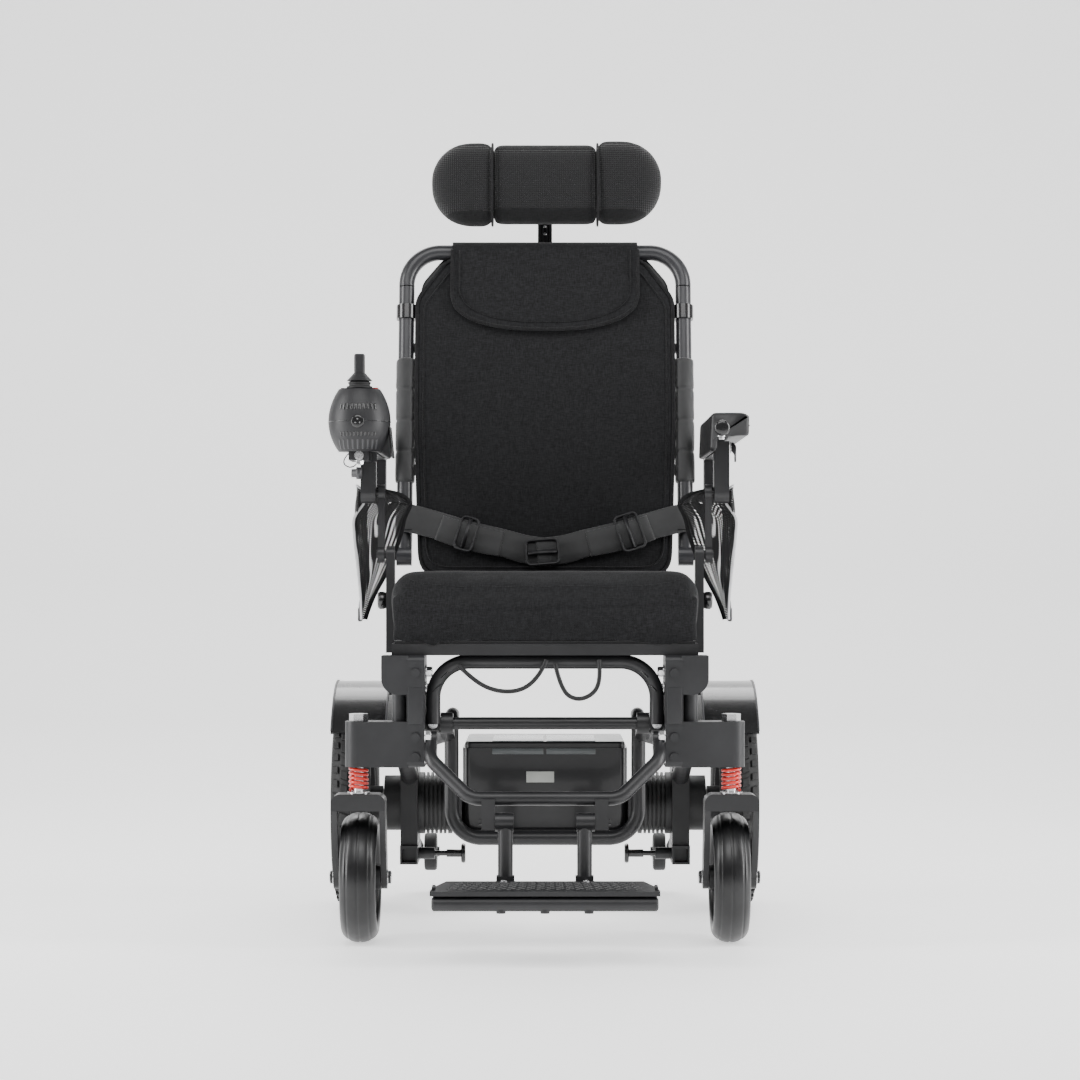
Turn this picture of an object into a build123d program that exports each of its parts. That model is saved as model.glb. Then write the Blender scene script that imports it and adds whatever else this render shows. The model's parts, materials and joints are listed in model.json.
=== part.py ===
from build123d import *
import math
import os

# Power wheelchair. Millimetres, +Z up, the front faces -Y and +X is on the right seen from the front.
# Helpers take u, the distance forward of the rear axle.

# Overall
REAR_AXLE_Y = 220.0
GAP = 0.3
OPEN_PIVOT_GAP = 1.5

# Driven rear wheels
REAR_TYRE_R = 159.0
REAR_TYRE_WIDTH = 60.0
REAR_TYRE_X = 290.0
RIM_R = 104.0
RIM_WIDTH = 48.0
SHAFT_R = 8.0
HUB_R = 26.0
RIM_SPOKES = 5

# Front casters
CASTER_R = 90.0
CASTER_WIDTH = 50.0
CASTER_X = 255.0
CASTER_U = 432.0
CASTER_TRAIL = 42.0
STEM_R = 7.0
FORK_ARM = 8.0
FORK_SIDE_GAP = 4.0
FORK_CROWN = 23.0
FORK_TOP_Z = CASTER_R + 119
SPRING_R = 11.4
SPRING_WIRE_R = 2.3
SPRING_TURNS = 5
WASHER = 2.0

# Front legs and cross tube
PLATE_X0 = 164.0
PLATE_X1 = 188.0
PLATE_U0 = 418.0
PLATE_U1 = 500.0
BEAM_Z0 = 246.0
BEAM_Z1 = 308.0
BEAM_HALF_DEPTH = 25.0
BEAM_HEAD_R = 18.0
KNUCKLE_Z0 = 345.0
KNUCKLE_X1 = 223.0
SEAT_BASE_Z = 398.0
PIVOT_U = 435.0
PIVOT_Z = 303.0
CROSS_TUBE_R = 8.5
ARCH_R = 10.0
ARCH_BEND = 50.0
SLEEVE_X0 = 127.0
SLEEVE_X1 = 144.0
SLEEVE_R = 15.0
COLLAR_X0 = 146.0
COLLAR_X1 = 162.0

# Seat
RAIL_X0 = 180.0
RAIL_X1 = 210.0
RAIL_HEIGHT = 16.0
RAIL_U0 = 15.0
RAIL_U1 = 476.0
SEAT_PAN = 4.0
CUSHION_HALF_WIDTH = 211.0
CUSHION_FRONT_HALF_WIDTH = 219.0
CUSHION_U0 = 77.0
CUSHION_U1 = 488.0
SKIRT_Z = 405.0
SEAT_TOP_Z = 512.0
LINK_POST_X0 = 213.0
LINK_POST_X1 = 225.0
LINK_U = 330.0

# Back
HINGE_U = 60.0
HINGE_Z = 537.0
RECLINE = 12.0
BACK_TUBE_R = 12.0
BACK_TUBE_X = 213.0
HINGE_PLATE_X0 = BACK_TUBE_X + BACK_TUBE_R + 2.5
HINGE_PLATE_X1 = HINGE_PLATE_X0 + 8
TUBE_WALL = 2.5
BACK_LENGTH = 480.0
BACK_BEND = 62.0
TOP_FOLD_S = BACK_LENGTH - 56
TOP_FOLD_F = -16.0
HINGE_PIN_R = 7.0
HINGE_EYE_R = 15.0
PANEL_HALF_WIDTH = BACK_TUBE_X - BACK_TUBE_R - 4
PANEL_S0 = -26.0
PANEL_S1 = BACK_LENGTH - 68
PANEL_FRONT = 14.0
CROSSBAR_R = 8.0
CROSSBAR_F = -12.0
CROSSBAR_LOW_S = 62.0
CROSSBAR_HIGH_S = BACK_LENGTH - 150
STRAP_S0 = 112.0
STRAP_S1 = 309.0
FLAP_HALF_WIDTH = 143.0
FLAP_S0 = BACK_LENGTH - 150
FLAP_S1 = BACK_LENGTH + 16
BELT_WIDTH = 44.0
BELT_THICK = 2.2
BELT_OUTER_S = 34.0
BELT_MIDDLE_S = -20.0
BELT_LOOP_R = 15.4

# Headrest
POST_HALF_WIDTH = 11.0
POST_F0 = -25.0
POST_F1 = -17.0
POST_S0 = BACK_LENGTH - 35
POST_S1 = BACK_LENGTH + 120
TILT_S = BACK_LENGTH + 110
TILT_PIN_R = 3.0
PILLOW_S = BACK_LENGTH + 97
PILLOW_F = 38.0
PILLOW_DEPTH = 50.0
PILLOW_HEIGHT = 69.0
PILLOW_ROLL_X = 80.0
PILLOW_HALF_WIDTH = 181.0

# Armrests
ARM_PIN_S = 90.0
ARM_PIN_R = 7.0
ARM_X0 = 241.0
ARM_X1 = 255.0
ARM_RAIL_Z0 = 682.0
ARM_RAIL_Z1 = 698.0
ARM_TUBE_X = 248.0
ARM_TUBE_Z = 714.0
ARM_TUBE_R = 10.0
ARM_FLIP_U = 50.0
ARM_FLIP_PIN_R = 5.0
ARM_PAD_U0 = 76.0
ARM_PAD_TOP_Z = 738.0
ARM_LINK_X0 = 227.5
ARM_LINK_X1 = 237.0
LINK_PIN_R = 6.0
PAD_U1 = {1: 375.0, -1: 322.0}
TUBE_U1 = {1: 388.0, -1: 350.0}
ARM_TIP_R = 9.6
ARM_HEAD_HALF = 15.0
BAG_X0 = 257.0
BAG_X1 = 275.0
BAG_U0 = 110.0
BAG_U1 = 292.0
BAG_Z0 = 440.0
BAG_Z1 = 636.0

# Controller on the armrest at -X
CONTROL_X = -259.0
CONTROL_U = 395.0
CONTROL_R = 43.5
CONTROL_Z0 = 680.0
CONTROL_Z1 = 767.0
CONTROL_TOP_R = 29.0
STICK_Z = 750.0
STICK_WELL_R = 15.0
STICK_R = 3.0
KNOB_TOP_Z = 817.0
SKIRT_BASE_Z = STICK_Z + 29
ROCKER_Z = CONTROL_Z1 - 2.2
ROCKER_PIN_R = 1.0
BUTTON_R = 4.5
BUTTON_TRAVEL = 2.0
BUTTON_OFFSET = 22.0

# Rear frame
SIDE_X = 206.0
SIDE_TUBE_R = 13.0
REAR_AXLE_Z = REAR_TYRE_R
HUB_PLATE_X0 = 193.0
HUB_PLATE_X1 = 219.0
POST_U = 30.0
POST_X = 205.0
POST_R = 11.0
MOTOR_R = 47.0
MOTOR_X0 = 142.0
MOTOR_FINS = 6
MOTOR_NECK_R = 20.0
GEARBOX_X1 = 245.0
FENDER_R = REAR_TYRE_R + 28
FENDER_WALL = 4.0
FENDER_X0 = 235.0
FENDER_X1 = 318.0
RECEIVER = 27.0
RECEIVER_Z = 83.5
TIP_ARM = 20.0
TIP_WHEEL_R = 30.0
TIP_WHEEL_U = -230.0
TIP_WHEEL_Z = 62.0
PIN_R = 4.0
PIN_U = 20.0

# Battery
BATTERY_HALF_WIDTH = 117.0
BATTERY_U0 = 110.0
BATTERY_U1 = 320.0
BATTERY_Z0 = 147.3
BATTERY_Z1 = 262.0
BATTERY_LID = 9.0
CRADLE_TUBE_R = 10.0
CRADLE_X = 132.0
CRADLE_U = 345.0
CRADLE_Z = 136.0

# Footrest
HANGER_U = 486.0
HANGER_Z = 283.0
HANGER_X = 156.0
HANGER_R = 9.5
HANGER_BAR_U = 555.0
HANGER_BAR_Z = 208.0
FOOT_PIVOT_U = 560.0
FOOT_PIVOT_Z = 177.0
FOOT_PIN_R = 4.0
LEG_X = 53.0
LEG_R = 10.0
LUG_X = 76.0
LUG_WIDTH = 18.0
PLATE_TOP_Z = 99.0
PLATE_THICK = 6.0
PLATE_HALF_WIDTH = 149.0
PLATE_REAR_HALF_WIDTH = 132.0
PLATE_REAR_U = 571.0
PLATE_FRONT_U = 700.0
PLATE_ROLL_R = 9.5
PLATE_ROLL_Z = 82.0
PLATE_TAB_DROP = 2.0
SIDES = (1, -1)
SIDE_NAMES = {1: "right", -1: "left"}


def at(x, u, z):
    return (x, REAR_AXLE_Y - u, z)


def block(x0, x1, u0, u1, z0, z1):
    centre = at((x0 + x1) / 2, (u0 + u1) / 2, (z0 + z1) / 2)
    return Pos(*centre) * Box(abs(x1 - x0), abs(u1 - u0), abs(z1 - z0))


def rod_x(x0, x1, u, z, r):
    return Pos(*at((x0 + x1) / 2, u, z)) * Rot(0, 90, 0) * Cylinder(r, abs(x1 - x0))


def rod_u(x, u0, u1, z, r):
    return Pos(*at(x, (u0 + u1) / 2, z)) * Rot(90, 0, 0) * Cylinder(r, abs(u1 - u0))


def rod_z(x, u, z0, z1, r):
    return Pos(*at(x, u, (z0 + z1) / 2)) * Cylinder(r, abs(z1 - z0))


def tube(points, radii, r, wall=0.0):
    path = FilletPolyline(*[at(*p) for p in points], radius=radii)
    section = Circle(r)
    if wall:
        section = Circle(r) - Circle(r - wall)
    return sweep(Plane(origin=path @ 0, z_dir=path % 0) * section, path=path)


def side_profile(points, x0, x1):
    """A plate between x0 and x1 with its outline given as (u, z) points."""
    outline = Polyline(*[at(x0, u, z) for u, z in points], close=True)
    return extrude(make_face(outline), amount=abs(x1 - x0), dir=(1 if x1 > x0 else -1, 0, 0))


def mirrored(solid):
    return mirror(solid, about=Plane.YZ)


def on_side(solid, side):
    return solid if side > 0 else mirrored(solid)


def pair(solid):
    return [solid, mirrored(solid)]


def reclined(solid):
    """Tips a piece of the upright back about the back hinge to its resting recline."""
    hinge = Axis(at(0, HINGE_U, HINGE_Z), (-1, 0, 0))
    return solid.rotate(hinge, RECLINE)


def back_u(f):
    return HINGE_U + f


def back_z(s):
    return HINGE_Z + s


def write(name, solids):
    found = []
    for item in solids:
        found.extend(item.solids())
    export_step(Compound(children=found), f"parts/{name}.step")


# Front legs, cross tube and seat


def front_leg():
    stem_u = CASTER_U + CASTER_TRAIL
    leg = block(PLATE_X0, PLATE_X1, PLATE_U0, PLATE_U1, BEAM_Z0, SEAT_BASE_Z)
    leg = fillet(leg.edges().filter_by(Axis.X), 8)
    beam_u = (stem_u - BEAM_HALF_DEPTH, stem_u + BEAM_HALF_DEPTH)
    beam = block(PLATE_X1 - 2, CASTER_X + BEAM_HEAD_R, *beam_u, BEAM_Z0, BEAM_Z1)
    outer = beam.edges().filter_by(Axis.Z).sort_by(Axis.X)[-2:]
    beam = fillet(outer, BEAM_HEAD_R - 1)
    knuckle = block(PLATE_X1 - 2, KNUCKLE_X1, *beam_u, KNUCKLE_Z0, SEAT_BASE_Z)
    corner = knuckle.edges().filter_by(Axis.Y).group_by(Axis.Z)[0].sort_by(Axis.X)[-1:]
    knuckle = fillet(corner, 22)
    column = rod_z(199.5, stem_u, BEAM_Z1 - 2, KNUCKLE_Z0 + 2, 10)
    leg = leg + beam + knuckle + column
    leg = leg - rod_x(PLATE_X0 - 1, PLATE_X1 + 1, PIVOT_U, PIVOT_Z, CROSS_TUBE_R + GAP)
    leg = leg - rod_z(CASTER_X, stem_u, BEAM_Z0 - 1, BEAM_Z1 + 1, STEM_R + GAP)
    pin = rod_x(HANGER_X - 7, PLATE_X0 + 2, HANGER_U, HANGER_Z, LINK_PIN_R)
    return leg + pin


def cross_tube():
    outer = rod_x(-PLATE_X1 - 3, PLATE_X1 + 3, PIVOT_U, PIVOT_Z, CROSS_TUBE_R)
    return outer - rod_x(-PLATE_X1 - 1, PLATE_X1 + 1, PIVOT_U, PIVOT_Z, CROSS_TUBE_R - TUBE_WALL)


def arch():
    arch_u = PIVOT_U + SLEEVE_R + ARCH_R - 2
    x = PLATE_X0 - ARCH_R - GAP
    top = SEAT_BASE_Z - ARCH_R + 1
    foot = PIVOT_Z
    points = [(x, arch_u, foot), (x, arch_u, top), (-x, arch_u, top), (-x, arch_u, foot)]
    bow = tube(points, ARCH_BEND, ARCH_R)
    for side in SIDES:
        web = block(COLLAR_X0, COLLAR_X1, PIVOT_U, arch_u, foot - 8, foot + 8)
        ring = rod_x(COLLAR_X0, COLLAR_X1, PIVOT_U, PIVOT_Z, SLEEVE_R - 1)
        bow = bow + on_side(web + ring, side)
    bore = rod_x(-COLLAR_X1 - 1, COLLAR_X1 + 1, PIVOT_U, PIVOT_Z, CROSS_TUBE_R + GAP)
    return bow - bore


def seat_frame():
    top = SEAT_BASE_Z + RAIL_HEIGHT
    frame = block(-RAIL_X1, RAIL_X1, RAIL_U1 - 24, RAIL_U1, SEAT_BASE_Z, top)
    frame = frame + block(-RAIL_X1, RAIL_X1, 50, 74, SEAT_BASE_Z, top)
    frame = frame + block(-RAIL_X1 + 4, RAIL_X1 - 4, 60, RAIL_U1 - 4, top - 1, top + SEAT_PAN)
    for side in SIDES:
        rail = block(RAIL_X0, RAIL_X1, RAIL_U0, RAIL_U1, SEAT_BASE_Z, top)
        foot = block(RAIL_X1 - 5, LINK_POST_X1, LINK_U - 12, LINK_U + 12, SEAT_BASE_Z, top)
        post = block(LINK_POST_X0, LINK_POST_X1, LINK_U - 12, LINK_U + 12, SEAT_BASE_Z, HINGE_Z)
        post = post + rod_x(LINK_POST_X0, LINK_POST_X1, LINK_U, HINGE_Z, 12)
        post = post + rod_x(LINK_POST_X1 - 1, ARM_LINK_X1 + 2, LINK_U, HINGE_Z, LINK_PIN_R)
        heel = block(RAIL_X1 - 5, HINGE_PLATE_X1, HINGE_U - 15, HINGE_U + 15, SEAT_BASE_Z, top)
        plate = block(HINGE_PLATE_X0, HINGE_PLATE_X1, HINGE_U - 15, HINGE_U + 15, SEAT_BASE_Z, HINGE_Z)
        plate = plate + rod_x(HINGE_PLATE_X0, HINGE_PLATE_X1, HINGE_U, HINGE_Z, HINGE_EYE_R)
        plate = plate + rod_x(BACK_TUBE_X - 10, HINGE_PLATE_X0 + 1, HINGE_U, HINGE_Z, HINGE_PIN_R)
        frame = frame + on_side(rail + foot + post + heel + plate, side)
    return frame + arch()


def seat_cushion():
    bottom = SEAT_BASE_Z + RAIL_HEIGHT + SEAT_PAN + GAP
    w = CUSHION_HALF_WIDTH
    cushion = block(-w, w, CUSHION_U0, CUSHION_U1, bottom, SEAT_TOP_Z)
    w = CUSHION_FRONT_HALF_WIDTH
    cushion = cushion + block(-w, w, LINK_U + 15, CUSHION_U1, bottom, SEAT_TOP_Z)
    corners = cushion.edges().filter_by(Axis.Z)
    corners = corners.filter_by(lambda e: abs(e.center().X) > CUSHION_HALF_WIDTH + 1)
    cushion = fillet(corners.group_by(Axis.Y)[0], 22)
    cushion = fillet(cushion.edges().group_by(Axis.Z)[-1], 12)
    skirt_u0 = RAIL_U1 + GAP
    return cushion + block(20 - w, w - 20, skirt_u0, CUSHION_U1 - 1, SKIRT_Z, bottom + 8)


def chassis_bolts():
    bolts = []
    x = (PLATE_X0 + PLATE_X1) / 2
    for z in (375.0, 287.0, 260.0):
        for side in SIDES:
            bolts.append(rod_u(side * x, PLATE_U1, PLATE_U1 + 5, z, 6))
    for side in SIDES:
        bolts.append(rod_x(side * (HINGE_PLATE_X1), side * (HINGE_PLATE_X1 + 5), HINGE_U, HINGE_Z, 9))
    return bolts


def cables():
    """Two leads clipped across the front of the arch."""
    front = PIVOT_U + SLEEVE_R + ARCH_R - 2 + ARCH_R + 3.5
    lead = tube(
        [(-118, front, 384), (-96, front + 2, 362), (-64, front + 5, 348), (-30, front + 5, 350),
         (-6, front + 2, 372), (2, front, 392)],
        [18, 16, 18, 14], 3)
    other = tube(
        [(74, front, 392), (76, front + 3, 368), (68, front + 6, 346), (44, front + 6, 336),
         (22, front + 4, 350), (14, front, 386)],
        [20, 14, 14, 16], 3)
    return [lead, other]


# Casters, built for the side at +X


def caster_stem():
    """The stem with its top nut and the two spring washers, sliding in the caster beam."""
    u = CASTER_U + CASTER_TRAIL
    stem = rod_z(CASTER_X, u, FORK_TOP_Z - 20, BEAM_Z1 + 8, STEM_R)
    nut = Pos(*at(CASTER_X, u, BEAM_Z1 + GAP + 5)) * extrude(RegularPolygon(13, 6), amount=5, both=True)
    washer = rod_z(CASTER_X, u, FORK_TOP_Z + GAP, FORK_TOP_Z + GAP + WASHER, SPRING_R + 4)
    return stem + nut + washer


def spring_ends():
    low = FORK_TOP_Z + GAP + WASHER + GAP + SPRING_WIRE_R
    high = BEAM_Z0 - GAP - SPRING_WIRE_R
    return low, high


def caster_spring():
    low, high = spring_ends()
    rise = high - low
    coil = Helix(pitch=rise / SPRING_TURNS, height=rise, radius=SPRING_R)
    wire = sweep(Plane(origin=coil @ 0, z_dir=coil % 0) * Circle(SPRING_WIRE_R), path=coil, is_frenet=True)
    return Pos(*at(CASTER_X, CASTER_U + CASTER_TRAIL, low)) * wire


def caster_fork():
    u = CASTER_U + CASTER_TRAIL
    inner = CASTER_WIDTH / 2 + FORK_SIDE_GAP
    outer = inner + FORK_ARM
    crown_z = FORK_TOP_Z - FORK_CROWN
    crown = block(CASTER_X - outer, CASTER_X + outer, u - 24, u + 22, crown_z, FORK_TOP_Z)
    crown = fillet(crown.edges().filter_by(Axis.Y).group_by(Axis.Z)[-1], 12)
    fork = crown
    for x0 in (CASTER_X - outer, CASTER_X + inner):
        slope = [(u - 24, crown_z + 1), (u + 22, crown_z + 1), (CASTER_U + 16, CASTER_R),
                 (CASTER_U - 16, CASTER_R)]
        arm = side_profile(slope, x0, x0 + FORK_ARM)
        arm = arm + rod_x(x0, x0 + FORK_ARM, CASTER_U, CASTER_R, 16)
        fork = fork + arm
    fork = fork - rod_z(CASTER_X, u, crown_z - 1, FORK_TOP_Z + 1, STEM_R + GAP)
    axle = rod_x(CASTER_X - outer - 4, CASTER_X + outer + 4, CASTER_U, CASTER_R, 5)
    heads = rod_x(CASTER_X - outer - 5, CASTER_X - outer, CASTER_U, CASTER_R, 9)
    heads = heads + rod_x(CASTER_X + outer, CASTER_X + outer + 5, CASTER_U, CASTER_R, 9)
    return fork + axle + heads


def wheel_ring(x, u, z, outer_r, inner_r, width, corner):
    ring = Cylinder(outer_r, width)
    ring = fillet(ring.edges().filter_by(GeomType.CIRCLE), corner)
    ring = ring - Cylinder(inner_r, width + 2)
    return Pos(*at(x, u, z)) * Rot(0, 90, 0) * ring


def caster_tyre():
    return wheel_ring(CASTER_X, CASTER_U, CASTER_R, CASTER_R, CASTER_R - 26, CASTER_WIDTH, 14)


def caster_rim():
    r = CASTER_R - 26
    half = CASTER_WIDTH / 2 - 6
    rim = rod_x(CASTER_X - half, CASTER_X + half, CASTER_U, CASTER_R, r)
    rim = rim - rod_x(CASTER_X - half - 1, CASTER_X - 5, CASTER_U, CASTER_R, r - 8)
    rim = rim - rod_x(CASTER_X + 5, CASTER_X + half + 1, CASTER_U, CASTER_R, r - 8)
    hub_half = CASTER_WIDTH / 2 + FORK_SIDE_GAP - 1
    rim = rim + rod_x(CASTER_X - hub_half, CASTER_X + hub_half, CASTER_U, CASTER_R, 17)
    return rim - rod_x(CASTER_X - hub_half - 1, CASTER_X + hub_half + 1, CASTER_U, CASTER_R, 5 + GAP)


# Rear frame, built for the side at +X


def rear_side():
    start = (SLEEVE_X0 + SLEEVE_X1) / 2
    points = [(start, PIVOT_U, PIVOT_Z), (start, 350, 287), (SIDE_X, 262, 262), (SIDE_X, 0, 190)]
    side = tube(points, [40, 40], SIDE_TUBE_R)
    side = side + rod_x(SLEEVE_X0, SLEEVE_X1, PIVOT_U, PIVOT_Z, SLEEVE_R)
    side = side & block(SLEEVE_X0, 400, -400, 600, 0, 900)
    side = side - block(SLEEVE_X1 + 0.5, SIDE_X, 395, 480, 240, 340)
    hub = block(HUB_PLATE_X0, HUB_PLATE_X1, -45, 50, RECEIVER_Z + RECEIVER / 2, 215)
    hub = fillet(hub.edges().filter_by(Axis.X).group_by(Axis.Z)[-1], 14)
    post = rod_z(POST_X, POST_U, 195, SEAT_BASE_Z - GAP, POST_R)
    half = RECEIVER / 2
    receiver = block(SIDE_X - half, SIDE_X + half, -55, 60, RECEIVER_Z - half, RECEIVER_Z + half + 1)
    boss = rod_x(168, SIDE_X - half + 1, PIN_U, RECEIVER_Z, 9)
    side = side + hub + post + receiver + boss
    slot = TIP_ARM / 2 + GAP
    side = side - block(SIDE_X - slot, SIDE_X + slot, -60, 65, RECEIVER_Z - slot, RECEIVER_Z + slot)
    side = side - rod_x(160, SIDE_X, PIN_U, RECEIVER_Z, PIN_R + GAP)
    side = side - rod_x(HUB_PLATE_X0 - 9, HUB_PLATE_X1 + 9, 0, REAR_AXLE_Z, MOTOR_NECK_R + GAP)
    return side - rod_x(SLEEVE_X0 - 1, SLEEVE_X1 + 9, PIVOT_U, PIVOT_Z, CROSS_TUBE_R + GAP)


def motor():
    """A finned motor with its neck through the hub plate, and the gearbox outside the plate."""
    body = rod_x(MOTOR_X0, HUB_PLATE_X0 - GAP, 0, REAR_AXLE_Z, MOTOR_R)
    pitch = (HUB_PLATE_X0 - MOTOR_X0 - 12) / MOTOR_FINS
    for n in range(MOTOR_FINS):
        x = MOTOR_X0 + 6 + pitch * n
        groove = rod_x(x, x + pitch / 2, 0, REAR_AXLE_Z, MOTOR_R + 1)
        groove = groove - rod_x(x, x + pitch / 2, 0, REAR_AXLE_Z, MOTOR_R - 5)
        body = body - groove
    neck = rod_x(HUB_PLATE_X0 - 2, HUB_PLATE_X1 + GAP, 0, REAR_AXLE_Z, MOTOR_NECK_R)
    gearbox = rod_x(HUB_PLATE_X1 + GAP, GEARBOX_X1, 0, REAR_AXLE_Z, MOTOR_R - 5)
    gearbox = gearbox - rod_x(GEARBOX_X1 - 22, GEARBOX_X1 + 1, 0, REAR_AXLE_Z, SHAFT_R + GAP)
    return [body + neck, gearbox]


def fender():
    """A curved guard over the rear tyre with its bracket to the upright post."""
    x0, x1 = FENDER_X0, FENDER_X1
    band = rod_x(x0, x1, 0, REAR_AXLE_Z, FENDER_R)
    band = band - rod_x(x0 - 1, x1 + 1, 0, REAR_AXLE_Z, FENDER_R - FENDER_WALL)
    reach = FENDER_R + 40
    wedge = [(0, REAR_AXLE_Z)]
    for angle in (-62, -30, 0, 28, 52):
        a = math.radians(angle)
        wedge.append((reach * 1.2 * math.sin(a), REAR_AXLE_Z + reach * 1.2 * math.cos(a)))
    band = band & side_profile(wedge, x0 - 1, x1 + 1)
    top = REAR_AXLE_Z + math.sqrt(FENDER_R ** 2 - 40 ** 2)
    bracket = block(POST_X + POST_R + GAP, x0 + 6, 12, 40, top - 16, top)
    return band + bracket


def rear_tyre():
    x = REAR_TYRE_X
    return wheel_ring(x, 0, REAR_AXLE_Z, REAR_TYRE_R, RIM_R, REAR_TYRE_WIDTH, 20)


def rear_rim():
    half = RIM_WIDTH / 2
    x = REAR_TYRE_X
    rim = rod_x(x - half, x + half, 0, REAR_AXLE_Z, RIM_R)
    rim = rim - rod_x(x - half - 1, x + half + 1, 0, REAR_AXLE_Z, RIM_R - 7)
    rim = rim + rod_x(x, x + 10, 0, REAR_AXLE_Z, RIM_R - 5)
    for n in range(RIM_SPOKES):
        a = 2 * math.pi * (n + 0.5) / RIM_SPOKES
        u = 63 * math.cos(a)
        z = REAR_AXLE_Z + 63 * math.sin(a)
        rim = rim - rod_x(x - 1, x + 11, u, z, 23)
    rim = rim + rod_x(GEARBOX_X1 + 3, x + 18, 0, REAR_AXLE_Z, HUB_R)
    return rim + rod_x(GEARBOX_X1 - 20, x, 0, REAR_AXLE_Z, SHAFT_R)


def clutch_lever():
    """The free-wheel lever on the inner end of a motor."""
    x1 = MOTOR_X0 - GAP
    lever = rod_x(x1 - 7, x1, 0, REAR_AXLE_Z, 14)
    z = REAR_AXLE_Z
    arm = side_profile([(-7, z), (7, z), (5, z + 50), (-5, z + 50)], x1 - 7, x1)
    return lever + arm + rod_x(x1 - 9, x1, 0, REAR_AXLE_Z + 50, 8)


def anti_tip_arm():
    half = TIP_ARM / 2
    z = RECEIVER_Z
    drop = TIP_WHEEL_Z
    end = TIP_WHEEL_U - 10
    outline = [(45, z - half), (-120, z - half), (end + 8, drop - half), (end, drop), (end, drop + half),
               (-120, z + half), (45, z + half)]
    arm = side_profile(outline, SIDE_X - half, SIDE_X + half)
    arm = arm - rod_x(SIDE_X - half - 1, SIDE_X, PIN_U, RECEIVER_Z, PIN_R + GAP)
    arm = arm + rod_x(SIDE_X - half - 24, SIDE_X, TIP_WHEEL_U, TIP_WHEEL_Z, 4)
    return arm + rod_x(SIDE_X - half - 26, SIDE_X - half - 23, TIP_WHEEL_U, TIP_WHEEL_Z, 8)


def anti_tip_wheel():
    x1 = SIDE_X - TIP_ARM / 2 - 2
    wheel = wheel_ring(x1 - 10, TIP_WHEEL_U, TIP_WHEEL_Z, TIP_WHEEL_R, 4 + GAP, 20, 4)
    return wheel


def pull_pin():
    """A spring plunger that locks the anti-tip arm, drawn inwards by its round head."""
    pin = rod_x(124, SIDE_X - 2, PIN_U, RECEIVER_Z, PIN_R)
    head = rod_x(121, 128, PIN_U, RECEIVER_Z, 15)
    head = fillet(head.edges().filter_by(GeomType.CIRCLE), 3)
    return pin + head + rod_x(127, 150, PIN_U, RECEIVER_Z, 6)


def battery():
    w = BATTERY_HALF_WIDTH
    case = block(-w, w, BATTERY_U0, BATTERY_U1, BATTERY_Z0, BATTERY_Z1)
    case = fillet(case.edges().filter_by(Axis.Z), 10)
    lid = block(-w + 3, w - 3, BATTERY_U0 + 3, BATTERY_U1 - 3, BATTERY_Z1, BATTERY_Z1 + BATTERY_LID)
    lid = fillet(lid.edges().filter_by(Axis.Z), 9)
    return [case, fillet(lid.edges().group_by(Axis.Z)[-1], 3)]


def battery_cradle():
    top = PIVOT_Z - 31.8
    points = [(CRADLE_X, CRADLE_U, top), (CRADLE_X, CRADLE_U, CRADLE_Z), (-CRADLE_X, CRADLE_U, CRADLE_Z),
              (-CRADLE_X, CRADLE_U, top)]
    cradle = tube(points, 42, CRADLE_TUBE_R)
    inner = BATTERY_HALF_WIDTH + 1
    outer = inner + 6
    floor_z = BATTERY_Z0 - GAP
    cradle = cradle + block(-outer, outer, BATTERY_U0 - 8, CRADLE_U, floor_z - 4, floor_z)
    for side in SIDES:
        wall = block(inner, outer, BATTERY_U0 - 8, CRADLE_U, floor_z - 4, floor_z + 48)
        cradle = cradle + on_side(wall, side)
    return cradle


# Back, built upright with f forward of the back plane and s up from the hinge


def back_side():
    x = BACK_TUBE_X
    post = rod_z(x, back_u(0), back_z(0), back_z(TOP_FOLD_S - 1), BACK_TUBE_R)
    post = post - rod_z(x, back_u(0), back_z(20), back_z(TOP_FOLD_S - 6), BACK_TUBE_R - TUBE_WALL)
    half = HINGE_PLATE_X0 - BACK_TUBE_X - 3
    post = post + rod_x(x - half, x + half, HINGE_U, HINGE_Z, HINGE_EYE_R)
    post = post - rod_x(x - half - 1, x + half + 1, HINGE_U, HINGE_Z, HINGE_PIN_R + GAP)
    post = post + rod_x(x, ARM_X1 + 4, HINGE_U, back_z(ARM_PIN_S), ARM_PIN_R)
    post = post - rod_x(x - 10, x + 1.75, back_u(TOP_FOLD_F), back_z(TOP_FOLD_S), 7.5)
    knuckle = block(x + 2, x + 11, back_u(TOP_FOLD_F - 7), back_u(-2), back_z(TOP_FOLD_S - 16),
                    back_z(TOP_FOLD_S - 1))
    ear = rod_x(x + 2, x + 11, back_u(TOP_FOLD_F), back_z(TOP_FOLD_S), 7)
    ear = ear + rod_x(x - 9, x + 11, back_u(TOP_FOLD_F), back_z(TOP_FOLD_S), 3)
    return post + knuckle + ear


def back_frame():
    frame = back_side() + mirrored(back_side())
    for s in (CROSSBAR_LOW_S, CROSSBAR_HIGH_S):
        frame = frame + rod_x(-BACK_TUBE_X, BACK_TUBE_X, back_u(CROSSBAR_F), back_z(s), CROSSBAR_R)
    return reclined(frame)


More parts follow.
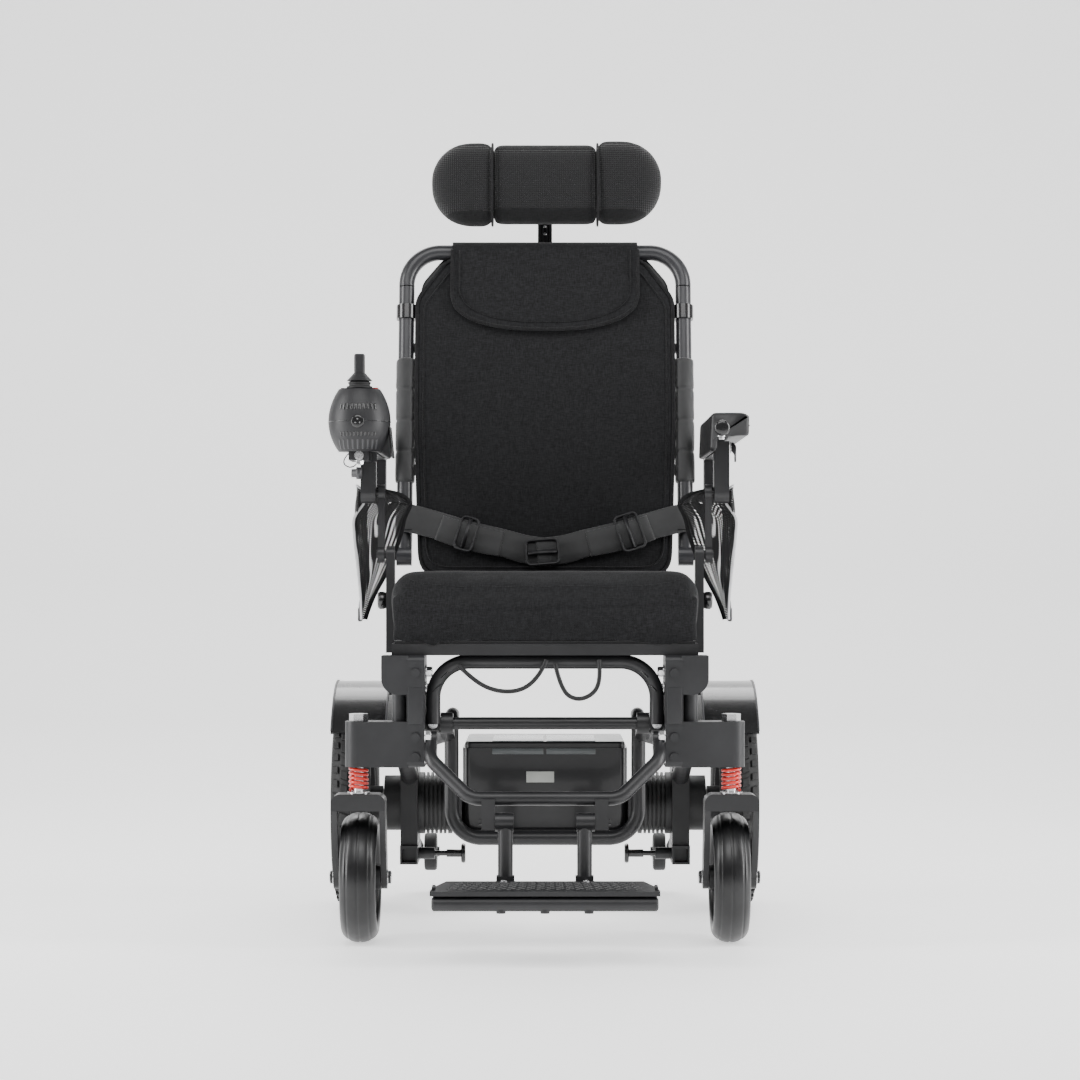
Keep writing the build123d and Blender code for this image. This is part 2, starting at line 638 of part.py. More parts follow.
def back_top_frame():
    x = BACK_TUBE_X
    top = BACK_LENGTH
    low = TOP_FOLD_S + 0.5
    points = [(x, back_u(0), back_z(low)), (x, back_u(0), back_z(top)), (-x, back_u(0), back_z(top)),
              (-x, back_u(0), back_z(low))]
    frame = tube(points, BACK_BEND - 10, BACK_TUBE_R)
    for side in SIDES:
        room = rod_x(x + 1.75, x + 13, back_u(TOP_FOLD_F), back_z(TOP_FOLD_S), 7.5)
        frame = frame - on_side(room, side)
        ear = rod_x(x - 9, x + 1.5, back_u(TOP_FOLD_F), back_z(TOP_FOLD_S), 7)
        web = block(x - 9, x + 1.5, back_u(TOP_FOLD_F - 7), back_u(-4), back_z(low), back_z(low + 16))
        lug = ear + web - rod_x(x - 12, x + 5, back_u(TOP_FOLD_F), back_z(TOP_FOLD_S), 3 + GAP)
        frame = frame + on_side(lug, side)
    rear = POST_F0 - 5
    socket = block(-18, 18, back_u(rear), back_u(-6), back_z(top - 10), back_z(top + 11))
    slot = block(-POST_HALF_WIDTH - GAP, POST_HALF_WIDTH + GAP, back_u(POST_F0 - GAP), back_u(POST_F1 + GAP),
                 back_z(top - 20), back_z(top + 20))
    return reclined(frame + socket - slot)


def back_collars():
    rings = []
    for side in SIDES:
        ring = rod_z(BACK_TUBE_X, back_u(0), back_z(TOP_FOLD_S - 52), back_z(TOP_FOLD_S - 30),
                     BACK_TUBE_R + 3.5)
        hole = rod_z(BACK_TUBE_X, back_u(0), back_z(300), back_z(TOP_FOLD_S), BACK_TUBE_R + 0.1)
        rings.append(reclined(on_side(ring - hole, side)))
    return rings


def back_panel():
    w = PANEL_HALF_WIDTH
    rear = CROSSBAR_F + CROSSBAR_R + GAP
    panel = block(-w, w, back_u(rear), back_u(PANEL_FRONT), back_z(PANEL_S0), back_z(PANEL_S1))
    panel = fillet(panel.edges().filter_by(Axis.Y), 18)
    return reclined(panel)


def back_straps():
    sleeves = []
    for side in SIDES:
        sleeve = rod_z(BACK_TUBE_X, back_u(0), back_z(STRAP_S0), back_z(STRAP_S1), BACK_TUBE_R + 3.5)
        hole = rod_z(BACK_TUBE_X, back_u(0), back_z(STRAP_S0 - 1), back_z(STRAP_S1 + 1), BACK_TUBE_R + 0.1)
        sleeves.append(reclined(on_side(sleeve - hole, side)))
    return sleeves


def back_flap():
    """The fabric flap that folds over the top bar and lies down the front of the panel."""
    w = FLAP_HALF_WIDTH
    front = PANEL_FRONT + 4
    flap = block(-w, w, back_u(PANEL_FRONT + GAP), back_u(front), back_z(FLAP_S0), back_z(FLAP_S1))
    flap = fillet(flap.edges().filter_by(Axis.Y).group_by(Axis.Z)[0], 60)
    over = BACK_LENGTH + BACK_TUBE_R
    over = back_z(over + GAP)
    flap = flap + block(-w, w, back_u(-BACK_TUBE_R), back_u(front), over, over + 4)
    return reclined(flap)


def lap_belt():
    """Two webbing straps sewn round the back tubes, meeting at a plain buckle low in front of the panel."""
    front = PANEL_FRONT + GAP
    strap_front = front + BELT_THICK
    pieces = []
    for side in SIDES:
        outer = side * BACK_TUBE_X
        inner = side * 3
        outline = [(outer, BELT_OUTER_S), (outer, BELT_OUTER_S + BELT_WIDTH),
                   (inner, BELT_MIDDLE_S + BELT_WIDTH), (inner, BELT_MIDDLE_S)]
        face = make_face(Polyline(*[at(x, back_u(front), back_z(s)) for x, s in outline], close=True))
        strap = extrude(face, amount=BELT_THICK, dir=(0, -1, 0))
        loop = rod_z(outer, back_u(0), back_z(BELT_OUTER_S), back_z(BELT_OUTER_S + BELT_WIDTH), BELT_LOOP_R)
        hole = rod_z(outer, back_u(0), back_z(0), back_z(BELT_OUTER_S + 2 * BELT_WIDTH),
                     BACK_TUBE_R + GAP / 3)
        bar = rod_x(0, outer, back_u(CROSSBAR_F), back_z(CROSSBAR_LOW_S), CROSSBAR_R + GAP)
        pieces.append(reclined(strap + loop - hole - bar))
    low = BELT_MIDDLE_S + 2
    rear = strap_front + GAP
    buckle = block(-26, 26, back_u(rear), back_u(rear + 8), back_z(low), back_z(low + 40))
    pieces.append(reclined(fillet(buckle.edges().filter_by(Axis.Y), 8)))
    return pieces


def headrest_post():
    w = POST_HALF_WIDTH
    post = block(-w, w, back_u(POST_F0), back_u(POST_F1), back_z(POST_S0), back_z(POST_S1))
    hinge_f = POST_F1 + 3
    post = post - rod_x(6 - w, w - 6, back_u(hinge_f), back_z(TILT_S), 6.5)
    for x in (-w, w - 6):
        ear = rod_x(x, x + 6, back_u(hinge_f), back_z(TILT_S), 6)
        post = post + ear
    post = post + rod_x(-w, w, back_u(hinge_f), back_z(TILT_S), TILT_PIN_R)
    return reclined(post)


def pillow_section(x0, x1, grow):
    oval = Ellipse(PILLOW_DEPTH + grow, PILLOW_HEIGHT + grow)
    roll = Pos(0, 0, (x0 + x1) / 2) * extrude(oval, (x1 - x0) / 2, both=True)
    roll = fillet(roll.edges(), 12)
    centre = at(0, back_u(PILLOW_F + grow), back_z(PILLOW_S))
    return Plane(origin=centre, x_dir=(0, -1, 0), z_dir=(1, 0, 0)) * roll


def headrest_pillow():
    lobe = pillow_section(PILLOW_ROLL_X - 14, PILLOW_HALF_WIDTH, 1)
    pillow = pillow_section(-PILLOW_ROLL_X, PILLOW_ROLL_X, 0) + lobe + mirrored(lobe)
    hinge_f = POST_F1 + 3
    inner = POST_HALF_WIDTH - 6 - GAP
    lug = block(-inner, inner, back_u(hinge_f), back_u(PILLOW_F - 20), back_z(TILT_S - 5), back_z(TILT_S + 5))
    lug = lug + rod_x(-inner, inner, back_u(hinge_f), back_z(TILT_S), 6)
    relief = block(-POST_HALF_WIDTH - 2, POST_HALF_WIDTH + 2, back_u(POST_F1), back_u(POST_F1 + 13),
                   back_z(TILT_S - 16), back_z(TILT_S + 18))
    pillow = pillow - relief + lug
    pillow = pillow - rod_x(-inner - 1, inner + 1, back_u(hinge_f), back_z(TILT_S), TILT_PIN_R + GAP)
    return reclined(pillow)


# Armrests, built for the side at +X


def link_vector():
    a = math.radians(RECLINE)
    return -ARM_PIN_S * math.sin(a), ARM_PIN_S * math.cos(a)


def arm_frame():
    du, dz = link_vector()
    pin_u = HINGE_U + du
    pin_z = HINGE_Z + dz
    top_u = LINK_U + du
    frame = block(ARM_X0, ARM_X1, pin_u - 12, top_u + ARM_HEAD_HALF, ARM_RAIL_Z0, ARM_RAIL_Z1)
    frame = frame + block(ARM_X0, ARM_X1, pin_u - 12, pin_u + 12, pin_z, ARM_RAIL_Z1)
    frame = frame + rod_x(ARM_X0, ARM_X1, pin_u, pin_z, 14)
    frame = frame - rod_x(ARM_X0 - 1, ARM_X1 + 1, pin_u, pin_z, ARM_PIN_R + GAP)
    half = ARM_HEAD_HALF
    head = block(ARM_X0, ARM_X1 + 7, top_u - half, top_u + half, pin_z, ARM_RAIL_Z1)
    head = head + rod_x(ARM_X0, ARM_X1 + 7, top_u, pin_z, half)
    head = head + rod_x(ARM_LINK_X0, ARM_X0 + 1, top_u, pin_z, LINK_PIN_R - 1)
    saddle_top = ARM_TUBE_Z - ARM_TUBE_R - GAP
    saddle = block(ARM_X0, ARM_X1, top_u - half, top_u + half, ARM_RAIL_Z1 - 1, saddle_top)
    wing = block(ARM_X0, ARM_X1 + 9, ARM_FLIP_U - 12, ARM_FLIP_U + 12, ARM_RAIL_Z0, ARM_RAIL_Z1)
    ear = block(ARM_X1 + 3.5, ARM_X1 + 9, ARM_FLIP_U - 12, ARM_FLIP_U + 12, ARM_RAIL_Z1 - 1, ARM_TUBE_Z)
    ear = ear + rod_x(ARM_X1 + 3.5, ARM_X1 + 9, ARM_FLIP_U, ARM_TUBE_Z, 12)
    ear = ear + rod_x(ARM_X0 - 2, ARM_X1 + 5, ARM_FLIP_U, ARM_TUBE_Z, ARM_FLIP_PIN_R)
    frame = frame + head + saddle + wing + ear
    for u in (BAG_U0 + 20, BAG_U1 - 35):
        hook = block(ARM_X1 - 1, ARM_X1 + 7, u, u + 14, BAG_Z1 + GAP, ARM_RAIL_Z0 + 10)
        frame = frame + hook
    return frame


def arm_tube(side):
    x = ARM_TUBE_X
    full_u = min(PAD_U1[1], TUBE_U1[side])
    rail = rod_u(x, ARM_FLIP_U, full_u, ARM_TUBE_Z, ARM_TUBE_R)
    if side > 0:
        rail = rail + rod_u(x, full_u, TUBE_U1[side], ARM_TUBE_Z, ARM_TIP_R)
    rail = rail - rod_u(x, ARM_FLIP_U + 20, TUBE_U1[side] - 5, ARM_TUBE_Z, ARM_TUBE_R - TUBE_WALL)
    eye = rod_x(ARM_X0 - 1, ARM_X1 + 3, ARM_FLIP_U, ARM_TUBE_Z, 13)
    bore = rod_x(ARM_X0 - 3, ARM_X1 + 5, ARM_FLIP_U, ARM_TUBE_Z, ARM_FLIP_PIN_R + GAP)
    return rail + eye - bore


def arm_pad(side):
    low = ARM_RAIL_Z1 + 4
    inner = 230.5
    outline = [(inner + 3, ARM_PAD_TOP_Z), (283, ARM_PAD_TOP_Z), (288, ARM_PAD_TOP_Z - 6),
               (288, low + 1), (239, low),
               (239, ARM_RAIL_Z0 - 2), (inner, ARM_RAIL_Z0)]
    start = ARM_PAD_U0
    face = make_face(Polyline(*[at(x, start, z) for x, z in outline], close=True))
    pad = extrude(face, amount=PAD_U1[side] - start, dir=(0, -1, 0))
    pad = pad - rod_u(ARM_TUBE_X, start - 1, PAD_U1[side] + 1, ARM_TUBE_Z, ARM_TUBE_R + 0.1)
    saddle_u = LINK_U + link_vector()[0]
    room = ARM_HEAD_HALF + 2
    return pad - block(ARM_X0 - 2, ARM_X1 + 2, saddle_u - room, saddle_u + room, low - 1, ARM_TUBE_Z)


def arm_link():
    du, dz = link_vector()
    u1 = LINK_U + du
    z1 = HINGE_Z + dz
    length = math.hypot(du, dz)
    nu, nz = dz / length * 8, -du / length * 8
    outline = [(LINK_U - nu, HINGE_Z - nz), (LINK_U + nu, HINGE_Z + nz), (u1 + nu, z1 + nz),
               (u1 - nu, z1 - nz)]
    link = side_profile(outline, ARM_LINK_X0, ARM_LINK_X1)
    link = link + rod_x(ARM_LINK_X0, ARM_LINK_X1, LINK_U, HINGE_Z, 12)
    link = link + rod_x(ARM_LINK_X0, ARM_LINK_X1, u1, z1, 12)
    link = link - rod_x(ARM_LINK_X0 - 1, ARM_LINK_X1 + 1, LINK_U, HINGE_Z, LINK_PIN_R + GAP)
    return link - rod_x(ARM_LINK_X0 - 1, ARM_LINK_X1 + 1, u1, z1, LINK_PIN_R - 1 + OPEN_PIVOT_GAP)


def mesh_bag():
    bag = block(BAG_X0, BAG_X1, BAG_U0, BAG_U1, BAG_Z0, BAG_Z1)
    return fillet(bag.edges().filter_by(Axis.X).group_by(Axis.Z)[0], 30)


# Controller


def controller_shell():
    z0 = CONTROL_Z0
    z1 = CONTROL_Z1
    top_r = CONTROL_TOP_R
    side = Spline((29, z0), (39, z0 + 18), (CONTROL_R, z0 + 42), (39.5, z0 + 66), (top_r, z1))
    profile = Polyline((top_r, z1), (0, z1), (0, z0), (29, z0)) + side
    shell = revolve(make_face(Plane.XZ * profile), axis=Axis.Z)
    shell = Pos(*at(CONTROL_X, CONTROL_U, 0)) * shell
    shell = shell - rod_z(CONTROL_X, CONTROL_U, STICK_Z - 14, z1 + 1, STICK_WELL_R)
    shell = shell - rod_z(CONTROL_X + BUTTON_OFFSET, CONTROL_U, z1 - 8, z1 + 1, BUTTON_R + GAP)
    x = CONTROL_X - BUTTON_OFFSET
    pocket = block(x - 4 - GAP, x + 4 + GAP, CONTROL_U - 7 - GAP, CONTROL_U + 7 + GAP, z1 - 6, z1 + 2)
    pin_hole = rod_x(x - 6, x + 6, CONTROL_U, ROCKER_Z, ROCKER_PIN_R + 0.1)
    return shell - pocket - pin_hole


def controller_base():
    """The bracket that carries the controller on the front of the armrest tube."""
    x = CONTROL_X
    rear = TUBE_U1[-1] - 16
    base = block(x - 14, x + 14, rear, CONTROL_U + 20, CONTROL_Z0 - 12, CONTROL_Z0)
    riser = block(-ARM_TUBE_X - 10, -ARM_TUBE_X + 10, rear, TUBE_U1[-1] - 2, CONTROL_Z0 - 12,
                  ARM_TUBE_Z - ARM_TUBE_R)
    return base + riser


def joystick_gimbal():
    ring = rod_z(CONTROL_X, CONTROL_U, STICK_Z - 2.5, STICK_Z + 2.5, 11)
    ring = ring - rod_z(CONTROL_X, CONTROL_U, STICK_Z - 4, STICK_Z + 4, 7.5)
    for side in SIDES:
        start = CONTROL_X + side * 10
        ring = ring + rod_x(start, CONTROL_X + side * (STICK_WELL_R - GAP), CONTROL_U, STICK_Z, 1.5)
    return ring


def joystick():
    x, u = CONTROL_X, CONTROL_U
    stick = rod_z(x, u, STICK_Z - 3, KNOB_TOP_Z - 6, STICK_R)
    stick = stick + Pos(*at(x, u, STICK_Z)) * Sphere(5)
    stick = stick + rod_u(x, u - 7.2, u + 7.2, STICK_Z, 1.5)
    skirt = 11.0
    stick = stick + Pos(*at(x, u, SKIRT_BASE_Z + skirt / 2)) * Cone(18, 8, skirt)
    grip_z = SKIRT_BASE_Z + skirt - 2
    grip = Pos(*at(x, u, (grip_z + KNOB_TOP_Z) / 2)) * Box(15, 12, KNOB_TOP_Z - grip_z)
    grip = fillet(grip.edges().filter_by(Axis.Z), 4)
    return stick + fillet(grip.edges().group_by(Axis.Z)[-1], 3)


def horn_button():
    top = CONTROL_Z1 + BUTTON_TRAVEL + 0.5
    return rod_z(CONTROL_X + BUTTON_OFFSET, CONTROL_U, CONTROL_Z1 - 5, top, BUTTON_R)


def speed_rocker():
    x = CONTROL_X - BUTTON_OFFSET
    rocker = block(x - 4, x + 4, CONTROL_U - 6.5, CONTROL_U + 6.5, CONTROL_Z1 - 4, CONTROL_Z1 + 2)
    rocker = fillet(rocker.edges().filter_by(Axis.X).group_by(Axis.Z)[-1], 1.5)
    return rocker + rod_x(x - 5.5, x + 5.5, CONTROL_U, ROCKER_Z, ROCKER_PIN_R)


# Footrest


def footrest_hanger():
    x = HANGER_X
    points = [(x, HANGER_U, HANGER_Z), (x, HANGER_U + 32, HANGER_Z - 24), (100, HANGER_BAR_U, HANGER_BAR_Z),
              (-100, HANGER_BAR_U, HANGER_BAR_Z), (-x, HANGER_U + 32, HANGER_Z - 24), (-x, HANGER_U, HANGER_Z)]
    hanger = tube(points, [28, 30, 30, 28], HANGER_R)
    hanger = hanger & block(-PLATE_X0 + GAP, PLATE_X0 - GAP, 400, 700, 100, 400)
    for side in SIDES:
        eye = rod_x(x - 8, PLATE_X0 - GAP, HANGER_U, HANGER_Z, 12)
        half = LUG_WIDTH / 2
        lug = block(LUG_X - half, LUG_X + half, FOOT_PIVOT_U - 12, FOOT_PIVOT_U + 8, FOOT_PIVOT_Z - 10,
                    HANGER_BAR_Z)
        lug = lug + rod_x(LEG_X - LEG_R - 1, LUG_X + half + 3, FOOT_PIVOT_U, FOOT_PIVOT_Z, FOOT_PIN_R)
        hanger = hanger + on_side(eye + lug, side)
    for side in SIDES:
        bore = rod_x(x - 12, PLATE_X0 + 1, HANGER_U, HANGER_Z, LINK_PIN_R + GAP)
        hanger = hanger - on_side(bore, side)
    return hanger


def footrest_leg():
    tab_top = PLATE_TOP_Z - PLATE_TAB_DROP
    leg = rod_z(LEG_X, FOOT_PIVOT_U, tab_top + 4, FOOT_PIVOT_Z, LEG_R)
    foot = block(LEG_X - 12, LEG_X + 12, FOOT_PIVOT_U - 10.9, PLATE_REAR_U - 1, tab_top + GAP,
                 tab_top + 8)
    leg = leg + foot
    leg = leg + rod_x(LEG_X - 11, LUG_X - LUG_WIDTH / 2 - GAP, FOOT_PIVOT_U, FOOT_PIVOT_Z, 12.5)
    return leg - rod_x(LEG_X - 12, LUG_X, FOOT_PIVOT_U, FOOT_PIVOT_Z, FOOT_PIN_R + GAP)


def footplate():
    w = PLATE_HALF_WIDTH
    rear_w = PLATE_REAR_HALF_WIDTH
    low = PLATE_TOP_Z - PLATE_THICK
    outline = [(-rear_w, PLATE_REAR_U), (rear_w, PLATE_REAR_U), (w - 2, 650), (w, 684), (w, PLATE_FRONT_U),
               (-w, PLATE_FRONT_U), (-w, 684), (2 - w, 650)]
    face = make_face(Polyline(*[at(x, u, low) for x, u in outline], close=True))
    plate = extrude(face, amount=PLATE_THICK, dir=(0, 0, 1))
    roll_u = PLATE_FRONT_U - PLATE_ROLL_R
    roll = rod_x(2 - w, w - 2, roll_u, PLATE_ROLL_Z, PLATE_ROLL_R)
    plate = plate + fillet(roll.edges().filter_by(GeomType.CIRCLE), 4)
    plate = plate + block(4 - w, w - 4, roll_u - 14, roll_u, PLATE_ROLL_Z, low + 1)
    for side in SIDES:
        tab = block(LEG_X - 13, LEG_X + 13, FOOT_PIVOT_U - 11, PLATE_REAR_U + 2, low,
                    PLATE_TOP_Z - PLATE_TAB_DROP)
        lip = block(w - 6, w - 2, 652, 683, low, PLATE_TOP_Z + 4)
        plate = plate + on_side(tab, side) + on_side(lip, side)
    for x in (-57, 0, 57):
        plate = plate + rod_z(x, roll_u, PLATE_ROLL_Z - PLATE_ROLL_R - 2.5, PLATE_ROLL_Z, 6)
    return plate


def casters():
    makers = {"caster_stem": caster_stem, "caster_spring": caster_spring, "caster_fork": caster_fork,
              "caster_tyre": caster_tyre, "caster_rim": caster_rim}
    for name, make in makers.items():
        solid = make()
        for side in SIDES:
            write(f"{name}_{SIDE_NAMES[side]}", [on_side(solid, side)])


def rear():
    makers = {"rear_tyre": rear_tyre, "rear_rim": rear_rim, "clutch_lever": clutch_lever,
              "anti_tip_wheel": anti_tip_wheel, "pull_pin": pull_pin}
    for name, make in makers.items():
        solid = make()
        for side in SIDES:
            write(f"{name}_{SIDE_NAMES[side]}", [on_side(solid, side)])
    write("rear_side_frames", pair(rear_side()))
    write("anti_tip_arms", pair(anti_tip_arm()))
    write("fenders", pair(fender()))
    write("motors", [on_side(solid, side) for solid in motor() for side in SIDES])
    write("battery_case", battery())
    write("battery_cradle", [battery_cradle()])


def chassis():
    write("front_legs", pair(front_leg()))
    write("cross_tube", [cross_tube()])
    write("seat_frame", [seat_frame()])
    write("seat_cushion", [seat_cushion()])
    write("chassis_bolts", chassis_bolts())
    write("cables", cables())


def back():
    write("back_frame", [back_frame()])
    write("back_top_frame", [back_top_frame()])
    write("back_collars", back_collars())
    write("back_panel", [back_panel()])
    write("back_straps", back_straps())
    write("back_flap", [back_flap()])
    write("lap_belt", lap_belt())
    write("headrest_post", [headrest_post()])
    write("headrest_pillow", [headrest_pillow()])


def armrests():
    for side in SIDES:
        name = SIDE_NAMES[side]
        write(f"arm_frame_{name}", [on_side(arm_frame(), side)])
        write(f"arm_tube_{name}", [on_side(arm_tube(side), side)])
        write(f"arm_pad_{name}", [on_side(arm_pad(side), side)])
        write(f"arm_link_{name}", [on_side(arm_link(), side)])
        write(f"mesh_bag_{name}", [on_side(mesh_bag(), side)])


def controller():
    write("controller_shell", [controller_shell()])
    write("controller_base", [controller_base()])
    write("joystick_gimbal", [joystick_gimbal()])
    write("joystick", [joystick()])
    write("horn_button", [horn_button()])
    write("speed_rocker", [speed_rocker()])


def footrest():
    write("footrest_hanger", [footrest_hanger()])
    write("footrest_legs", pair(footrest_leg()))
    write("footplate", [footplate()])


os.makedirs("parts", exist_ok=True)
chassis()
casters()
rear()
back()
armrests()
controller()
footrest()
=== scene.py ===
import json
import math

import bmesh
import bpy
from mathutils import Matrix, Vector, noise as mnoise
from mathutils.bvhtree import BVHTree

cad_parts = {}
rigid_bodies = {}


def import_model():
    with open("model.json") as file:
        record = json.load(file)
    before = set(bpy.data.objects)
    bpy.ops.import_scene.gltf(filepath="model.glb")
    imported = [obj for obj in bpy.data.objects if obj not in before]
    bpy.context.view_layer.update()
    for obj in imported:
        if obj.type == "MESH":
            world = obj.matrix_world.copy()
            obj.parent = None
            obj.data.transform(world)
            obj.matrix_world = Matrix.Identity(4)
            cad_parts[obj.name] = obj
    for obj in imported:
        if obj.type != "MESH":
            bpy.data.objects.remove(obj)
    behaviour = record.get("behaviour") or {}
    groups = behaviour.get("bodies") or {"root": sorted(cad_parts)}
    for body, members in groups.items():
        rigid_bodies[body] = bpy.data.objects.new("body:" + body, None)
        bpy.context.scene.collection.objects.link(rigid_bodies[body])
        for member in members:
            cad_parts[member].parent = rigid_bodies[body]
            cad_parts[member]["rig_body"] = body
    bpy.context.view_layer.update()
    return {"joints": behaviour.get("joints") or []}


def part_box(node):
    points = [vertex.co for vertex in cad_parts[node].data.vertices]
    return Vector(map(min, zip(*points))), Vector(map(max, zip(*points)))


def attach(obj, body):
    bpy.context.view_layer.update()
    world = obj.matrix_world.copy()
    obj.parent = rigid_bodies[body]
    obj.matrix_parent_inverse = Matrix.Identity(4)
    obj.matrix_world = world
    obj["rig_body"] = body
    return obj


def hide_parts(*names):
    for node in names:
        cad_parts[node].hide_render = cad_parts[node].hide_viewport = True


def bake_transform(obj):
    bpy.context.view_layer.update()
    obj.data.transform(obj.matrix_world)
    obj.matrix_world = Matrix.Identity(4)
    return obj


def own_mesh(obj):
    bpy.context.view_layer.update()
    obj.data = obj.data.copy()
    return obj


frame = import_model()

# Metres. The chair faces -Y. u is the distance forward of the rear axle.
JOINTS = {j["name"]: j for j in frame["joints"]}
REAR_AXLE_Y = JOINTS["rear_wheel_spin_right"]["pos_m"][1]
HINGE = Vector(JOINTS["back_recline"]["pos_m"])
RECLINE = math.radians(12)
SIDES = {"right": 1, "left": -1}

# Camera
CAMERA_DISTANCE = 4.21
EYE_HEIGHT = 0.508
LENS = 96.3


def at(x, u, z):
    return Vector((x, REAR_AXLE_Y - u, z))


def on_back(x, f, s):
    """A point of the back: f forward of its plane, s up from the hinge."""
    a = RECLINE
    up = Vector((0, math.sin(a), math.cos(a)))
    forward = Vector((0, -math.cos(a), math.sin(a)))
    return Vector((x, HINGE.y, HINGE.z)) + forward * f + up * s


# Node helpers


def new_material(name, color, roughness, metallic=0.0, **sockets):
    m = bpy.data.materials.new(name)
    m.use_nodes = True
    shader = m.node_tree.nodes["Principled BSDF"]
    shader.inputs["Base Color"].default_value = (*color, 1)
    shader.inputs["Roughness"].default_value = roughness
    shader.inputs["Metallic"].default_value = metallic
    for key, value in sockets.items():
        shader.inputs[key.replace("_", " ")].default_value = value
    return m, m.node_tree, shader


def node(tree, kind, **settings):
    n = tree.nodes.new(kind)
    for key, value in settings.items():
        setattr(n, key, value)
    return n


def coords(tree, scale=(1, 1, 1), rotation=(0, 0, 0)):
    source = node(tree, "ShaderNodeTexCoord")
    mapping = node(tree, "ShaderNodeMapping")
    mapping.inputs["Scale"].default_value = scale
    mapping.inputs["Rotation"].default_value = rotation
    tree.links.new(source.outputs["Object"], mapping.inputs["Vector"])
    return mapping.outputs["Vector"]


def maths(tree, operation, a, b=None):
    n = node(tree, "ShaderNodeMath", operation=operation)
    for socket, value in zip(n.inputs, (a, b)):
        if value is None:
            continue
        if isinstance(value, (int, float)):
            socket.default_value = value
        else:
            tree.links.new(value, socket)
    return n.outputs[0]


def noise(tree, vector, scale, detail=4.0, roughness=0.6):
    n = node(tree, "ShaderNodeTexNoise")
    n.inputs["Scale"].default_value = scale
    n.inputs["Detail"].default_value = detail
    n.inputs["Roughness"].default_value = roughness
    tree.links.new(vector, n.inputs["Vector"])
    return n.outputs["Fac"]


def ramp(tree, value, low, high, low_color, high_color):
    n = node(tree, "ShaderNodeValToRGB")
    n.color_ramp.elements[0].position = low
    n.color_ramp.elements[1].position = high
    n.color_ramp.elements[0].color = (*low_color, 1)
    n.color_ramp.elements[1].color = (*high_color, 1)
    tree.links.new(value, n.inputs["Fac"])
    return n.outputs["Color"]


def spread(tree, value, low, high):
    n = node(tree, "ShaderNodeMapRange")
    n.inputs["To Min"].default_value = low
    n.inputs["To Max"].default_value = high
    tree.links.new(value, n.inputs["Value"])
    return n.outputs["Result"]


def bump(tree, shader, height, strength, distance):
    n = node(tree, "ShaderNodeBump")
    n.inputs["Strength"].default_value = strength
    n.inputs["Distance"].default_value = distance
    tree.links.new(height, n.inputs["Height"])
    tree.links.new(n.outputs["Normal"], shader.inputs["Normal"])


def wave_product(tree, vector, pitch, first, second):
    """The product of two sine waves, one along each direction."""
    waves = []
    for direction in (first, second):
        dot = node(tree, "ShaderNodeVectorMath", operation="DOT_PRODUCT")
        tree.links.new(vector, dot.inputs[0])
        dot.inputs[1].default_value = direction
        waves.append(maths(tree, "SINE", maths(tree, "MULTIPLY", dot.outputs["Value"], 2 * math.pi / pitch)))
    return maths(tree, "MULTIPLY", waves[0], waves[1])


# Materials


def coated_metal(name, color, roughness, grain=900.0, coat=0.0):
    """Powder coat: a fine orange-peel skin, a little uneven in tone, dusty in patches."""
    m, tree, shader = new_material(name, color, roughness)
    shader.inputs["Coat Weight"].default_value = coat
    shader.inputs["Coat Roughness"].default_value = 0.18
    vector = coords(tree)
    cloudy = noise(tree, vector, 14.0)
    lighter = tuple(c * 1.5 + 0.004 for c in color)
    tree.links.new(ramp(tree, cloudy, 0.35, 0.75, color, lighter), shader.inputs["Base Color"])
    smudge = noise(tree, vector, 45.0)
    tree.links.new(spread(tree, smudge, roughness - 0.07, roughness + 0.1), shader.inputs["Roughness"])
    bump(tree, shader, noise(tree, vector, grain, 2.0), 0.12, 0.0004)
    return m


def plastic(name, color, roughness, grain=700.0, strength=0.1, coat=0.0):
    m, tree, shader = new_material(name, color, roughness)
    shader.inputs["Coat Weight"].default_value = coat
    shader.inputs["Coat Roughness"].default_value = 0.08
    vector = coords(tree)
    cloudy = noise(tree, vector, 20.0)
    lighter = tuple(c * 1.35 + 0.003 for c in color)
    tree.links.new(ramp(tree, cloudy, 0.3, 0.8, color, lighter), shader.inputs["Base Color"])
    tree.links.new(spread(tree, noise(tree, vector, 60.0), roughness - 0.06, roughness + 0.08),
                   shader.inputs["Roughness"])
    bump(tree, shader, noise(tree, vector, grain, 3.0), strength, 0.0003)
    return m


def woven(name, color, pitch=0.0011, sheen=0.25):
    """A plain melange weave: crossed threads, some lighter than others."""
    m, tree, shader = new_material(name, color, 0.92)
    shader.inputs["Sheen Weight"].default_value = sheen
    shader.inputs["Sheen Roughness"].default_value = 0.5
    shader.inputs["Specular IOR Level"].default_value = 0.25
    vector = coords(tree)
    weave = wave_product(tree, vector, pitch * 2, (1, 0, 0), (0, 1, 1))
    warp = noise(tree, coords(tree, (1, 0.14, 0.14)), 900.0, 2.0)
    weft = noise(tree, coords(tree, (0.14, 1, 1)), 900.0, 2.0)
    mixed = maths(tree, "ADD", maths(tree, "MULTIPLY", warp, 0.5), maths(tree, "MULTIPLY", weft, 0.5))
    shade = maths(tree, "ADD", mixed, maths(tree, "MULTIPLY", weave, 0.09))
    dark = tuple(c * 0.45 for c in color)
    light = tuple(c * 2.3 + 0.006 for c in color)
    tree.links.new(ramp(tree, shade, 0.36, 0.66, dark, light), shader.inputs["Base Color"])
    height = maths(tree, "ADD", maths(tree, "MULTIPLY", weave, 0.6), shade)
    bump(tree, shader, height, 0.35, 0.0006)
    return m


